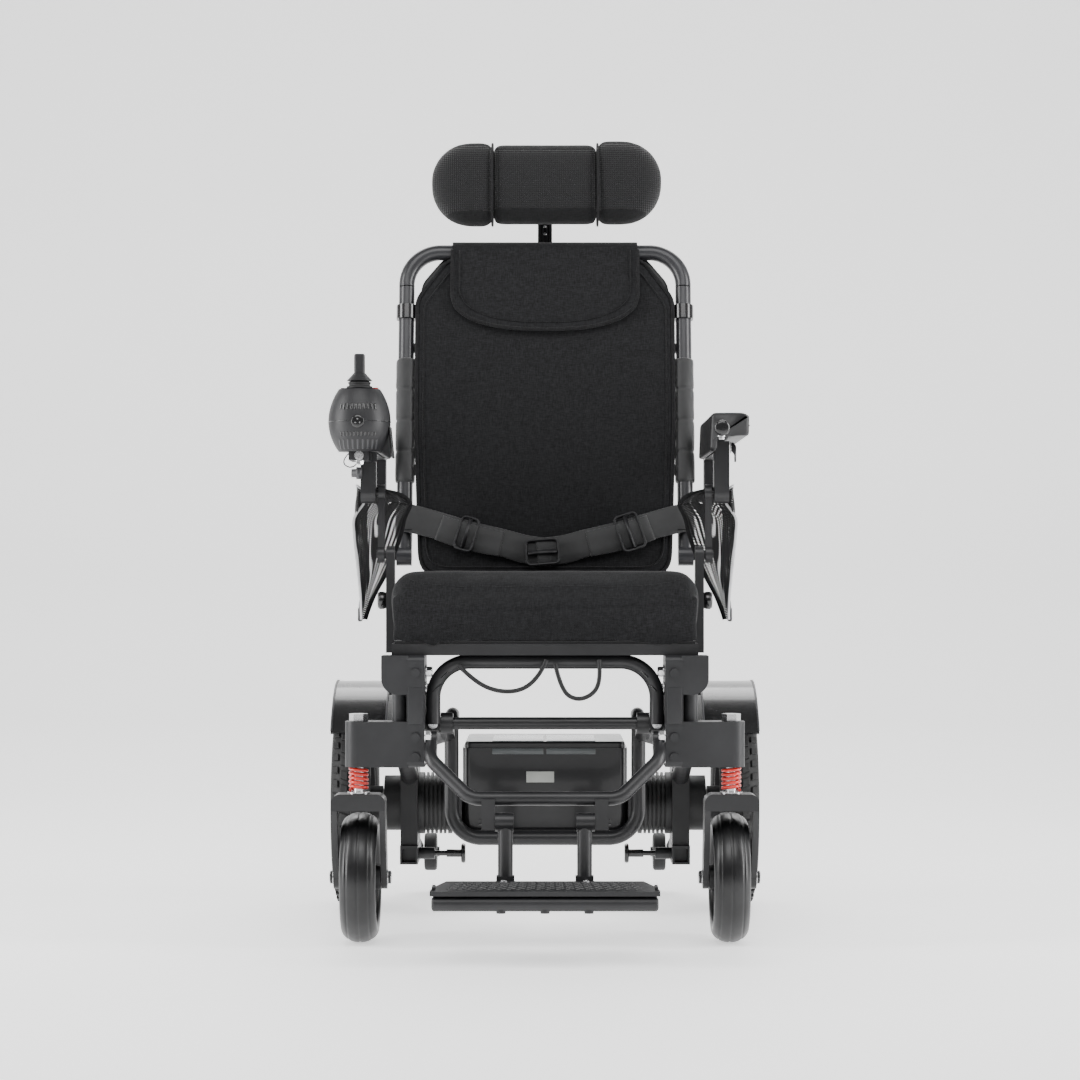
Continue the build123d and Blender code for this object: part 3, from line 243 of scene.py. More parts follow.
def spacer_mesh(name, color, pitch=0.0032):
    """Knitted spacer mesh: a honeycomb of small dark holes in a soft knit."""
    m, tree, shader = new_material(name, color, 0.8)
    shader.inputs["Sheen Weight"].default_value = 0.12
    shader.inputs["Specular IOR Level"].default_value = 0.25
    cells = wave_product(tree, coords(tree), pitch * 2, (1, 0, 1), (-1, 0, 1))
    fuzz = noise(tree, coords(tree), 1400.0, 2.0)
    shade = maths(tree, "ADD", maths(tree, "MULTIPLY", cells, 0.5), maths(tree, "MULTIPLY", fuzz, 0.25))
    light = tuple(c * 2.2 + 0.004 for c in color)
    dark = tuple(c * 0.15 for c in color)
    tree.links.new(ramp(tree, shade, 0.05, 0.5, light, dark), shader.inputs["Base Color"])
    bump(tree, shader, maths(tree, "MULTIPLY", cells, -1.0), 0.6, 0.0012)
    return m


def open_mesh(name, color, pitch=0.0032):
    """A net with real holes: the surface is clear where a cell is open."""
    m, tree, shader = new_material(name, color, 0.75)
    cells = wave_product(tree, coords(tree), pitch * 2, (0.6, 1, 1), (0.6, -1, 1))
    holes = maths(tree, "GREATER_THAN", cells, 0.68)
    tree.links.new(maths(tree, "SUBTRACT", 1.0, holes), shader.inputs["Alpha"])
    bump(tree, shader, cells, 0.5, 0.0008)
    return m


def webbing(name, color):
    """Seat-belt webbing: a fine herringbone of ribs along the strap."""
    m, tree, shader = new_material(name, color, 0.55)
    shader.inputs["Sheen Weight"].default_value = 0.35
    ribs = wave_product(tree, coords(tree), 0.0034, (1, 0, 1), (-1, 0.6, 1))
    cloudy = noise(tree, coords(tree), 30.0)
    shade = maths(tree, "ADD", maths(tree, "MULTIPLY", ribs, 0.25), cloudy)
    light = tuple(c * 1.9 + 0.004 for c in color)
    tree.links.new(ramp(tree, shade, 0.3, 0.85, color, light), shader.inputs["Base Color"])
    bump(tree, shader, ribs, 0.3, 0.0005)
    return m


def tyre_rubber(name, color, roughness):
    m, tree, shader = new_material(name, color, roughness)
    vector = coords(tree)
    dusty = noise(tree, vector, 24.0, 6.0)
    lighter = tuple(c * 1.8 + 0.006 for c in color)
    tree.links.new(ramp(tree, dusty, 0.4, 0.8, color, lighter), shader.inputs["Base Color"])
    tree.links.new(spread(tree, noise(tree, vector, 70.0), roughness - 0.08, roughness + 0.14),
                   shader.inputs["Roughness"])
    bump(tree, shader, noise(tree, vector, 500.0, 3.0), 0.12, 0.0004)
    return m


def bright_metal(name, color, roughness):
    m, tree, shader = new_material(name, color, roughness, 1.0)
    vector = coords(tree, (1, 1, 6))
    tree.links.new(spread(tree, noise(tree, vector, 300.0), roughness - 0.08, roughness + 0.15),
                   shader.inputs["Roughness"])
    bump(tree, shader, noise(tree, vector, 600.0), 0.06, 0.0002)
    return m


MATERIALS = {
    "frame_black": coated_metal("frame_black", (0.006, 0.006, 0.007), 0.42, coat=0.1),
    "frame_side": coated_metal("frame_side", (0.011, 0.0112, 0.0125), 0.46),
    "tube_grey": coated_metal("tube_grey", (0.017, 0.017, 0.0195), 0.36, coat=0.15),
    "gloss_black": plastic("gloss_black", (0.003, 0.003, 0.0035), 0.24, 300.0, 0.03, 0.5),
    "cushion_fabric": woven("cushion_fabric", (0.0045, 0.0046, 0.0053), sheen=0.05),
    "binding": woven("binding", (0.0042, 0.0042, 0.0048), 0.0007, sheen=0.08),
    "back_cloth": plastic("back_cloth", (0.0045, 0.0045, 0.0053), 0.5, 900.0, 0.3),
    "spacer_mesh": spacer_mesh("spacer_mesh", (0.0035, 0.0035, 0.0039)),
    "smooth_knit": woven("smooth_knit", (0.0028, 0.0028, 0.0032), 0.0006, sheen=0.05),
    "bag_mesh": open_mesh("bag_mesh", (0.005, 0.005, 0.0055)),
    "bag_edge": plastic("bag_edge", (0.42, 0.42, 0.43), 0.5, 900.0, 0.25),
    "webbing": webbing("webbing", (0.0055, 0.0057, 0.0062)),
    "cable": plastic("cable", (0.004, 0.004, 0.0045), 0.45),
    "bright_steel": bright_metal("bright_steel", (0.72, 0.72, 0.73), 0.24),
    "spring_red": coated_metal("spring_red", (0.62, 0.02, 0.012), 0.28, coat=0.5),
    "caster_rubber": tyre_rubber("caster_rubber", (0.005, 0.005, 0.0055), 0.3),
    "drive_rubber": tyre_rubber("drive_rubber", (0.006, 0.006, 0.0062), 0.6),
    "rim_black": coated_metal("rim_black", (0.009, 0.009, 0.01), 0.4),
    "motor_case": coated_metal("motor_case", (0.005, 0.005, 0.0055), 0.48),
    "battery_plastic": plastic("battery_plastic", (0.004, 0.004, 0.005), 0.3, 400.0, 0.05, 0.3),
    # Pale grey glossy plastic for the battery lid: a painted reflection.
    "painted_reflection_grey": plastic("painted_reflection_grey", (0.07, 0.078, 0.08), 0.2, 300.0, 0.02, 0.4),
    "label_blank": plastic("label_blank", (0.33, 0.34, 0.32), 0.4),
    "matte_plastic": plastic("matte_plastic", (0.0085, 0.0085, 0.0098), 0.46),
    "grey_plastic": plastic("grey_plastic", (0.04, 0.04, 0.043), 0.4),
    "pad_vinyl": plastic("pad_vinyl", (0.008, 0.008, 0.009), 0.42, 420.0, 0.28),
    "lever_red": plastic("lever_red", (0.4, 0.02, 0.015), 0.4),
    "button_red": plastic("button_red", (0.35, 0.02, 0.015), 0.4),
    "grip_rubber": tyre_rubber("grip_rubber", (0.006, 0.006, 0.0065), 0.6),
}

# Mesh helpers


def mesh_piece(name, verts, faces, material, body=None, smooth=True):
    data = bpy.data.meshes.new(name)
    data.from_pydata([tuple(v) for v in verts], [], faces)
    bm = bmesh.new()
    bm.from_mesh(data)
    bmesh.ops.remove_doubles(bm, verts=bm.verts, dist=1e-6)
    bmesh.ops.recalc_face_normals(bm, faces=bm.faces)
    bm.to_mesh(data)
    bm.free()
    piece = bpy.data.objects.new(name, data)
    bpy.context.scene.collection.objects.link(piece)
    data.materials.append(MATERIALS[material])
    if smooth:
        data.polygons.foreach_set("use_smooth", [True] * len(data.polygons))
    if body:
        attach(piece, body)
    return piece


def ring_faces(rings, sides, closed=False):
    """Quads between rings of the same number of points."""
    faces = []
    count = rings if closed else rings - 1
    for i in range(count):
        j = (i + 1) % rings
        for k in range(sides):
            n = (k + 1) % sides
            faces.append((i * sides + k, i * sides + n, j * sides + n, j * sides + k))
    return faces


def loft(name, rings, material, body=None, caps=True, closed=False):
    sides = len(rings[0])
    verts = [p for ring in rings for p in ring]
    faces = ring_faces(len(rings), sides, closed)
    if caps and not closed:
        faces.append(tuple(range(sides)))
        faces.append(tuple(range((len(rings) - 1) * sides, len(rings) * sides)))
    return mesh_piece(name, verts, faces, material, body)


def smooth_path(points, steps=6, closed=False):
    """A Catmull-Rom curve through the points."""
    points = [Vector(p) for p in points]
    n = len(points)
    result = []
    spans = n if closed else n - 1
    for i in range(spans):
        a, b, c, d = (points[(i + k) % n] if closed else points[min(max(i + k, 0), n - 1)] for k in (-1, 0, 1, 2))
        for step in range(steps):
            t = step / steps
            result.append(0.5 * (2 * b + (c - a) * t + (2 * a - 5 * b + 4 * c - d) * t * t
                                 + (3 * b - a - 3 * c + d) * t * t * t))
    if not closed:
        result.append(points[-1])
    return result


def path_frames(path, closed=False, first=None):
    """A tangent, side and up vector at each point, turned as little as possible."""
    n = len(path)
    frames = []
    side = first
    for i in range(n):
        before = path[(i - 1) % n] if closed or i else path[0]
        after = path[(i + 1) % n] if closed or i < n - 1 else path[-1]
        tangent = (after - before).normalized()
        if side is None:
            side = tangent.orthogonal()
        side = (side - tangent * side.dot(tangent)).normalized()
        frames.append((tangent, side, tangent.cross(side)))
    return frames


def sweep(name, path, width, height, material, body=None, closed=False, sides=10, first=None, square=1.0):
    """A tube of elliptical section, or flatter where square is over 1, along a path."""
    rings = []
    for p, (_, side, up) in zip(path, path_frames(path, closed, first)):
        ring = []
        for k in range(sides):
            a = 2 * math.pi * (k + 0.5) / sides
            c, s = math.cos(a), math.sin(a)
            c = math.copysign(abs(c) ** (1 / square), c)
            s = math.copysign(abs(s) ** (1 / square), s)
            ring.append(p + side * (width / 2 * c) + up * (height / 2 * s))
        rings.append(ring)
    return loft(name, rings, material, body, closed=closed)


def lathe_x(name, profile, centre, material, body=None, segments=96, closed=True):
    """Turns (x, r) points about the X axis through centre."""
    rings = []
    for k in range(segments):
        a = 2 * math.pi * k / segments
        rings.append([centre + Vector((x, r * math.cos(a), r * math.sin(a))) for x, r in profile])
    verts = [p for ring in rings for p in ring]
    sides = len(profile)
    faces = []
    for i in range(segments):
        j = (i + 1) % segments
        for k in range(sides if closed else sides - 1):
            n = (k + 1) % sides
            faces.append((i * sides + k, i * sides + n, j * sides + n, j * sides + k))
    return mesh_piece(name, verts, faces, material, body)


def lathe_z(name, profile, centre, material, body=None, segments=64):
    """Turns (r, z) points about the Z axis through centre, closed at both ends."""
    rings = []
    for r, z in profile:
        ring = []
        for k in range(segments):
            a = 2 * math.pi * k / segments
            ring.append(centre + Vector((r * math.cos(a), r * math.sin(a), z)))
        rings.append(ring)
    return loft(name, rings, material, body)


def rounded_box(name, low, high, radius, material, body=None, segments=4):
    bm = bmesh.new()
    bmesh.ops.create_cube(bm, size=1)
    low, high = Vector(low), Vector(high)
    size = high - low
    centre = (low + high) / 2
    for v in bm.verts:
        v.co = Vector((v.co.x * size.x, v.co.y * size.y, v.co.z * size.z)) + centre
    bmesh.ops.bevel(bm, geom=bm.edges, offset=radius, segments=segments, profile=0.5, affect="EDGES")
    data = bpy.data.meshes.new(name)
    bm.to_mesh(data)
    bm.free()
    piece = bpy.data.objects.new(name, data)
    bpy.context.scene.collection.objects.link(piece)
    data.materials.append(MATERIALS[material])
    data.polygons.foreach_set("use_smooth", [True] * len(data.polygons))
    if body:
        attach(piece, body)
    return piece


def join(name, pieces):
    """Joins pieces that ride on one body into one object."""
    body = pieces[0].get("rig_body")
    for p in pieces:
        world = p.matrix_world.copy()
        p.parent = None
        p.matrix_world = world
    bpy.ops.object.select_all(action="DESELECT")
    for p in pieces:
        p.select_set(True)
    bpy.context.view_layer.objects.active = pieces[0]
    bpy.ops.object.join()
    pieces[0].name = name
    if body:
        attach(pieces[0], body)
    return pieces[0]


def apply_modifiers(piece):
    bpy.context.view_layer.update()
    graph = bpy.context.evaluated_depsgraph_get()
    data = bpy.data.meshes.new_from_object(piece.evaluated_get(graph))
    piece.modifiers.clear()
    piece.data = data


def subdivide(piece, levels=1):
    m = piece.modifiers.new("subdivide", "SUBSURF")
    m.levels = m.render_levels = levels
    apply_modifiers(piece)
    piece.data.polygons.foreach_set("use_smooth", [True] * len(piece.data.polygons))


def puff(piece, voxel, pressure, frames, cap, floor=None):
    """Inflates a closed piece with Cloth, limiting how far each point may move."""
    remesh = piece.modifiers.new("remesh", "REMESH")
    remesh.mode = "VOXEL"
    remesh.voxel_size = voxel
    apply_modifiers(piece)
    rest = [v.co.copy() for v in piece.data.vertices]
    cloth = piece.modifiers.new("cloth", "CLOTH")
    cloth.settings.quality = 5
    cloth.settings.mass = 0.3
    cloth.settings.tension_stiffness = 18
    cloth.settings.compression_stiffness = 18
    cloth.settings.bending_stiffness = 0.6
    cloth.settings.use_pressure = True
    cloth.settings.uniform_pressure_force = pressure
    cloth.settings.effector_weights.gravity = 0
    cloth.collision_settings.use_collision = False
    cloth.point_cache.frame_start = 1
    cloth.point_cache.frame_end = frames
    for f in range(1, frames + 1):
        bpy.context.scene.frame_set(f)
    apply_modifiers(piece)
    bpy.context.scene.frame_set(1)
    for v, r in zip(piece.data.vertices, rest):
        move = v.co - r
        if move.length > cap:
            v.co = r + move.normalized() * cap
        if floor is not None and v.co.z < floor:
            v.co.z = floor
    smooth = piece.modifiers.new("smooth", "SMOOTH")
    smooth.factor = 0.5
    smooth.iterations = 4
    apply_modifiers(piece)
    subdivide(piece)



# Camera, lights and floor


def studio():
    camera = bpy.data.objects.new("camera", bpy.data.cameras.new("camera"))
    camera.location = (0, -CAMERA_DISTANCE, EYE_HEIGHT)
    camera.rotation_euler = (math.radians(90), 0, 0)
    camera.data.lens = LENS
    camera.data.shift_x = -0.0046
    camera.data.shift_y = 0.0324
    bpy.context.scene.collection.objects.link(camera)
    bpy.context.scene.camera = camera

    world = bpy.data.worlds.new("studio")
    world.use_nodes = True
    background = world.node_tree.nodes["Background"]
    background.inputs["Color"].default_value = (1, 1, 1, 1)
    background.inputs["Strength"].default_value = 0.28
    bpy.context.scene.world = world

    for name, place, size, power in (
        ("key", (0, -2.4, 3.4), (3.2, 2.0), 85),
        ("left_strip", (-2.5, -0.7, 1.3), (0.8, 2.4), 75),
        ("right_strip", (2.5, -0.7, 1.3), (0.8, 2.4), 75),
        ("rear", (0, 2.2, 2.8), (3.0, 1.5), 60),
    ):
        light = bpy.data.objects.new(name, bpy.data.lights.new(name, "AREA"))
        light.data.shape = "RECTANGLE"
        light.data.size, light.data.size_y = size
        light.data.energy = power
        light.location = place
        aim = Vector((0, 0, 0.55)) - Vector(place)
        light.rotation_euler = aim.to_track_quat("-Z", "Y").to_euler()
        bpy.context.scene.collection.objects.link(light)

    floor_material, tree, shader = new_material("floor", (0.88, 0.88, 0.88), 0.6)
    tone = noise(tree, coords(tree), 3.0)
    tree.links.new(ramp(tree, tone, 0.3, 0.7, (0.87, 0.87, 0.87), (0.9, 0.9, 0.9)), shader.inputs["Base Color"])
    shader.inputs["Emission Color"].default_value = (1, 1, 1, 1)
    shader.inputs["Emission Strength"].default_value = 0.85
    path = [(-6.0, 0.0), (2.5, 0.0), (3.2, 0.12), (3.7, 0.5), (3.9, 1.2), (3.9, 6.0)]
    verts = [(x, y, z) for y, z in path for x in (-7, 7)]
    faces = [(2 * i, 2 * i + 1, 2 * i + 3, 2 * i + 2) for i in range(len(path) - 1)]
    data = bpy.data.meshes.new("floor")
    data.from_pydata(verts, [], faces)
    floor = bpy.data.objects.new("floor", data)
    data.materials.append(floor_material)
    data.polygons.foreach_set("use_smooth", [True] * len(faces))
    bpy.context.scene.collection.objects.link(floor)


# Shape helpers that need more than points


def even(outline, count):
    """A closed 2-D outline as evenly spaced points."""
    points = [Vector(p) for p in outline]
    spans = [(points[i], points[(i + 1) % len(points)]) for i in range(len(points))]
    total = sum((b - a).length for a, b in spans)
    result = []
    done = 0.0
    k = 0
    for i in range(count):
        target = total * i / count
        while done + (spans[k][1] - spans[k][0]).length < target:
            done += (spans[k][1] - spans[k][0]).length
            k += 1
        a, b = spans[k]
        result.append(a + (b - a) * ((target - done) / max((b - a).length, 1e-9)))
    return result


def rounded(corners, steps=6):
    """A 2-D outline from (x, y, radius) corners."""
    result = []
    n = len(corners)
    for i, (x, y, r) in enumerate(corners):
        p = Vector((x, y))
        a = (Vector(corners[i - 1][:2]) - p).normalized()
        b = (Vector(corners[(i + 1) % n][:2]) - p).normalized()
        start, end = p + a * r, p + b * r
        for k in range(steps + 1):
            t = k / steps
            result.append(start * (1 - t) ** 2 + p * (2 * t * (1 - t)) + end * t * t)
    return result


def plate(name, outline, front, back, crown, mapper, material, body, rings=16, count=200, ripple=0.0):
    """A closed pad from a 2-D outline; crown is how far its middle stands out in front."""
    edge = even(outline, count)
    middle = sum(edge, Vector((0, 0))) / count
    half = (front - back) / 2
    levels = [(0.02 + 0.96 * (i / rings) ** 0.8, 1) for i in range(rings + 1)]
    levels += [(0.993, 0.7), (1.0, 0.0), (0.993, -0.7)]
    levels += [(0.98, -1), (0.6, -1), (0.02, -1)]
    loops = []
    for t, face in levels:
        loop = []
        for p in edge:
            q = middle + (p - middle) * t
            f = (front + back) / 2 + half * face
            if face == 1:
                f += crown * (1 - t ** 3)
                f += ripple * mnoise.noise(Vector((q.x * 9, q.y * 9, 0.3))) * min(1, (1 - t) * 8)
            loop.append(mapper(q.x, f, q.y))
        loops.append(loop)
    return loft(name, loops, material, body)


def welt(name, outline, f, thickness, mapper, material, body, scale=1.0, count=220):
    """Piping along an outline, shrunk towards its middle by scale."""
    edge = even(outline, count)
    middle = sum(edge, Vector((0, 0))) / count
    shrunk = [middle + (p - middle) * scale for p in edge]
    path = [mapper(p.x, f, p.y) for p in shrunk]
    return sweep(name, path, thickness, thickness, material, body, closed=True, sides=8)


def ribbon(name, points, sides, width, thickness, material, body=None, steps=8):
    """A flat strap along a smooth path, with its width direction given at each point."""
    path = smooth_path(points, steps)
    widths = smooth_path(sides, steps)
    rings = []
    for i, (p, side) in enumerate(zip(path, widths)):
        before, after = path[max(i - 1, 0)], path[min(i + 1, len(path) - 1)]
        tangent = (after - before).normalized()
        side = (side - tangent * side.dot(tangent)).normalized()
        up = tangent.cross(side)
        ring = []
        for a, b in ((1, 0.3), (0.94, 1), (0.3, 1), (-0.3, 1), (-0.94, 1), (-1, 0.3),
                     (-1, -0.3), (-0.94, -1), (-0.3, -1), (0.3, -1), (0.94, -1), (1, -0.3)):
            ring.append(p + side * (a * width / 2) + up * (b * thickness / 2))
        rings.append(ring)
    return loft(name, rings, material, body)


def surface(node_name):
    bm = bmesh.new()
    bm.from_mesh(bpy.data.objects[node_name].data)
    tree = BVHTree.FromBMesh(bm)
    bm.free()
    return tree


def fastener(name, point, normal, radius, height, body, material="bright_steel", sides=6, washer=1.35):
    """A bolt head or nut with a chamfered top on a washer."""
    normal = Vector(normal).normalized()
    side = normal.orthogonal().normalized()
    up = normal.cross(side)
    rings = []
    count = 24
    profile = [(washer, 0.0, False), (washer, 0.16, False), (1.0, 0.18, True), (1.0, 0.8, True), (0.86, 1.0, False),
               (0.42, 1.0, False), (0.36, 0.72, False)]
    for scale, z, flat in profile:
        ring = []
        for k in range(count):
            a = 2 * math.pi * k / count
            r = radius * scale
            if flat and sides:
                step = 2 * math.pi / sides
                r *= math.cos(step / 2) / math.cos((a % step) - step / 2)
            ring.append(Vector(point) + side * (r * math.cos(a)) + up * (r * math.sin(a)) + normal * (height * z))
        rings.append(ring)
    piece = loft(name, rings, material, body)
    piece.data.polygons.foreach_set("use_smooth", [False] * len(piece.data.polygons))
    return piece


def paint(key, *nodes):
    for name in nodes:
        targets = [name] if name in bpy.data.objects else [name + "_right", name + "_left"]
        for target in targets:
            data = bpy.data.objects[target].data
            data.materials.clear()
            data.materials.append(MATERIALS[key])


# Seat


def seat():
    low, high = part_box("seat_cushion")
    front_y, back_y = low[1] + 0.0055, high[1] - 0.006
    bottom, top = 0.4188, high[2] - 0.0065
    skirt_bottom = low[2] + 0.0035
    step_y = REAR_AXLE_Y - 0.352
    boxes = [rounded_box("seat_cushion_cover", (-0.205, front_y, bottom), (0.205, back_y, top), 0.026, "cushion_fabric",
                         segments=6),
             rounded_box("wide", (-0.2155, front_y, bottom), (0.2155, step_y, top), 0.026, "cushion_fabric",
                         segments=6),
             rounded_box("skirt", (-0.2135, front_y - 0.0008, skirt_bottom), (0.2135, front_y + 0.0085, 0.478), 0.004,
                         "cushion_fabric")]
    cushion = join("seat_cushion_cover", boxes)
    puff(cushion, 0.0048, 4.0, 20, 0.008)
    lip_y = REAR_AXLE_Y - 0.4762
    for v in cushion.data.vertices:
        p = v.co
        v.co = p + Vector((0, 0, 0.0012)) * mnoise.noise(p * 22)
        if p.y < front_y + 0.03:
            crease = math.exp(-((p.z - 0.4605 - 0.004 * math.sin(p.x * 9)) / 0.0032) ** 2)
            v.co.y += 0.0026 * crease + 0.0012 * mnoise.noise(Vector((p.x * 26, p.z * 40, 1.0)))
            fold = math.exp(-((p.z - 0.415) / 0.012) ** 2)
            gathers = 0.4 + 1.6 * math.exp(-((p.x + 0.17) / 0.035) ** 2)
            v.co.y += 0.0009 * gathers * fold * math.sin(p.x * 210 + 6 * mnoise.noise(Vector((p.x * 30, 0, 0))))
        if p.z < bottom + 0.002:
            if p.y > lip_y - 0.0005:
                v.co.z = max(v.co.z, bottom)
                if p.y < lip_y + 0.008:
                    v.co.y = min(v.co.y, lip_y - 0.0005) if p.z < bottom - 0.002 else v.co.y
            # The right corner of the turned-under edge is cut upwards
            rise = 0.010 * max(0.0, (p.x - 0.175) / 0.035)
            if p.y <= lip_y:
                v.co.z = max(v.co.z, skirt_bottom - 0.003 + rise)
        if p.y > step_y + 0.004 and abs(v.co.x) > 0.2118:
            v.co.x = math.copysign(0.2118, v.co.x)
    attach(cushion, "chassis")
    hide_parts("seat_cushion")
    # The sewn edges of the cover
    w_in, r = 0.196, 0.026
    edge = rounded([(-w_in, -0.25, r), (w_in, -0.25, r), (w_in, back_y - 0.02, r), (-w_in, back_y - 0.02, r)])
    tree = BVHTree.FromObject(cushion, bpy.context.evaluated_depsgraph_get())
    path = []
    for p in even(edge, 260):
        hit = tree.ray_cast(Vector((p.x, p.y, 0.6)), Vector((0, 0, -1)))[0]
        if hit:
            path.append(hit + Vector((0, 0, -0.0004)))
    seam = sweep("seat_top_seam", path, 0.0016, 0.0016, "binding", "chassis", closed=True, sides=6)
    for side_name, side in SIDES.items():
        knob = lathe_x("seat_knob_" + side_name, [(0, 0.0), (0, 0.011), (0.004, 0.0125), (0.009, 0.0125),
                                                  (0.012, 0.0105), (0.0125, 0.0)],
                       Vector((0, REAR_AXLE_Y - 0.33, 0.472)), "gloss_black", segments=24)
        for v in knob.data.vertices:
            v.co.x = side * (0.2252 + v.co.x)
        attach(knob, "chassis")


# Back


PANEL_OUTLINE = rounded([(-0.188, -0.034, 0.035), (0.188, -0.034, 0.035), (0.1965, 0.2, 0.04), (0.1965, 0.402, 0.012),
                         (0.152, 0.462, 0.012), (0.13, 0.468, 0.01), (-0.13, 0.468, 0.01), (-0.152, 0.462, 0.012),
                         (-0.1965, 0.402, 0.012), (-0.1965, 0.2, 0.04)])


def back_cover():
    panel = plate("back_panel_cover", PANEL_OUTLINE, 0.0125, -0.0025, -0.004, on_back, "cushion_fabric", None,
                  ripple=0.0014)
    subdivide(panel)
    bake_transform(panel)
    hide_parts("back_panel")
    for name, scale, size in (("back_panel_piping", 1.0, 0.0058), ("back_panel_inner_piping", 0.945, 0.003)):
        pipe = welt(name, PANEL_OUTLINE, 0.0105 if scale == 1.0 else 0.0118, size, on_back, "binding", None, scale)
        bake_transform(pipe)
    # A second, slick layer behind the cut corners
    for side_name, side in SIDES.items():
        corner = plate("back_corner_layer_" + side_name,
                       rounded([(side * 0.125, 0.36, 0.005), (side * 0.191, 0.33, 0.008), (side * 0.191, 0.43, 0.012),
                                (side * 0.155, 0.474, 0.012), (side * 0.125, 0.478, 0.005)]),
                       -0.004, -0.007, 0.0, on_back, "back_cloth", None, rings=6, count=60)
        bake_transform(corner)


def flap_depth(x, s):
    return 0.0004 * math.sin(x * 60) + 0.0012 * mnoise.noise(Vector((x * 14, s * 14, 2.0)))


def back_flap():
    """The cloth flap hung over the top bar, D-shaped in front."""
    half, top, low = 0.1425, 0.4935, 0.352
    columns, rows = 64, 40
    bar_f, bar_s, r = 0.0, 0.48, 0.0136
    front, outline = [], []
    for i in range(columns + 1):
        x = -half + 2 * half * i / columns
        q = abs(x) / half
        bottom = low + 0.052 * (1 - math.sqrt(max(0.0, 1 - q ** 2.6)))
        column = []
        for k in range(rows + 1):
            t = k / rows
            s = bottom + (bar_s - bottom) * t
            f = 0.0176 - 0.0022 * t + flap_depth(x, s)
            column.append(on_back(x, f, s))
        for k in range(1, 13):
            a = math.radians(165 * k / 12)
            column.append(on_back(x, bar_f + (r + 0.0018) * math.cos(a), bar_s + (r + 0.0016) * math.sin(a)))
        for k in range(1, 4):
            column.append(on_back(x, -0.0155, bar_s + 0.003 - 0.012 * k))
        front.append(column)
        outline.append(column[0])
    count = len(front[0])
    verts = [p for column in front for p in column]
    faces = [(i * count + k, (i + 1) * count + k, (i + 1) * count + k + 1, i * count + k + 1)
             for i in range(columns) for k in range(count - 1)]
    flap = mesh_piece("back_flap_cloth", verts, faces, "cushion_fabric")
    thick = flap.modifiers.new("thick", "SOLIDIFY")
    thick.thickness = 0.0018
    thick.offset = 0
    apply_modifiers(flap)
    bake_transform(flap)
    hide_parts("back_flap")
    edge = [front[0][k] for k in range(rows, 0, -1)] + outline + [front[-1][k] for k in range(1, rows + 1)]
    bound = sweep("back_flap_binding", smooth_path(edge, 2), 0.0062, 0.0034, "binding", None, sides=8,
                  first=Vector((1, 0, 0)))
    inner = []
    for i in range(3, columns - 2):
        x = -half + 2 * half * i / columns
        q = abs(x) / (half - 0.011)
        s = low + 0.0105 + 0.052 * (1 - math.sqrt(max(0.0, 1 - min(1.0, q) ** 2.6)))
        inner.append(on_back(x, 0.0192 + flap_depth(x, s), s))
    left = [on_back(-half + 0.011, 0.0186, s) for s in (0.478, 0.455, 0.43, 0.412)]
    right = [on_back(half - 0.011, 0.0186, s) for s in (0.412, 0.43, 0.455, 0.478)]
    stitch = sweep("back_flap_stitch", smooth_path(left + inner[1:-1] + right, 2), 0.0016, 0.0014, "binding", None,
                   sides=6)
    for piece in (bound, stitch):
        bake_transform(piece)


def back_sleeves():
    """Cloth sleeves round the back tubes, with sewn bands and lacing towards the panel."""
    for side_name, side in SIDES.items():
        rings = []
        steps = 96
        for i in range(steps + 1):
            s = 0.1125 + 0.196 * i / steps
            band = abs(((s - 0.1125) / 0.049) % 1.0 - 0.5) * 2
            r = 0.0151 - 0.0013 * max(0.0, band - 0.82) / 0.18
            ring = []
            for k in range(28):
                a = 2 * math.pi * k / 28
                rr = r + 0.0006 * mnoise.noise(Vector((math.cos(a) * 2, math.sin(a) * 2, s * 40 + side)))
                ring.append(on_back(side * 0.213 + rr * math.cos(a), rr * math.sin(a), s))
            rings.append(ring)
        for i in (0, steps):
            rings[i] = [p + (on_back(side * 0.213, 0, 0.1125 + 0.196 * i / steps) - p) * 0.16 for p in rings[i]]
        sleeve = loft("back_sleeve_" + side_name, rings, "webbing", "back")
        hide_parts("back_straps")
        for n in range(7):
            s = 0.13 + 0.028 * n
            tie = ribbon("back_lace_%s_%d" % (side_name, n),
                         [on_back(side * 0.2005, 0.008, s), on_back(side * 0.1965, 0.002, s + 0.004),
                          on_back(side * 0.188, -0.0045, s + 0.008)],
                         [on_back(0, 0, 1) - on_back(0, 0, 0)] * 3, 0.016, 0.0012, "webbing", "back", 4)


# Headrest


def lobe_scale(x, inner, outer):
    shoulder = outer - 0.066
    if x > shoulder:
        return math.sqrt(max(0.0, 1 - ((x - shoulder) / (outer - shoulder)) ** 2.3))
    return 1 - 0.16 * max(0.0, 1 - (x - inner) / 0.014) ** 2


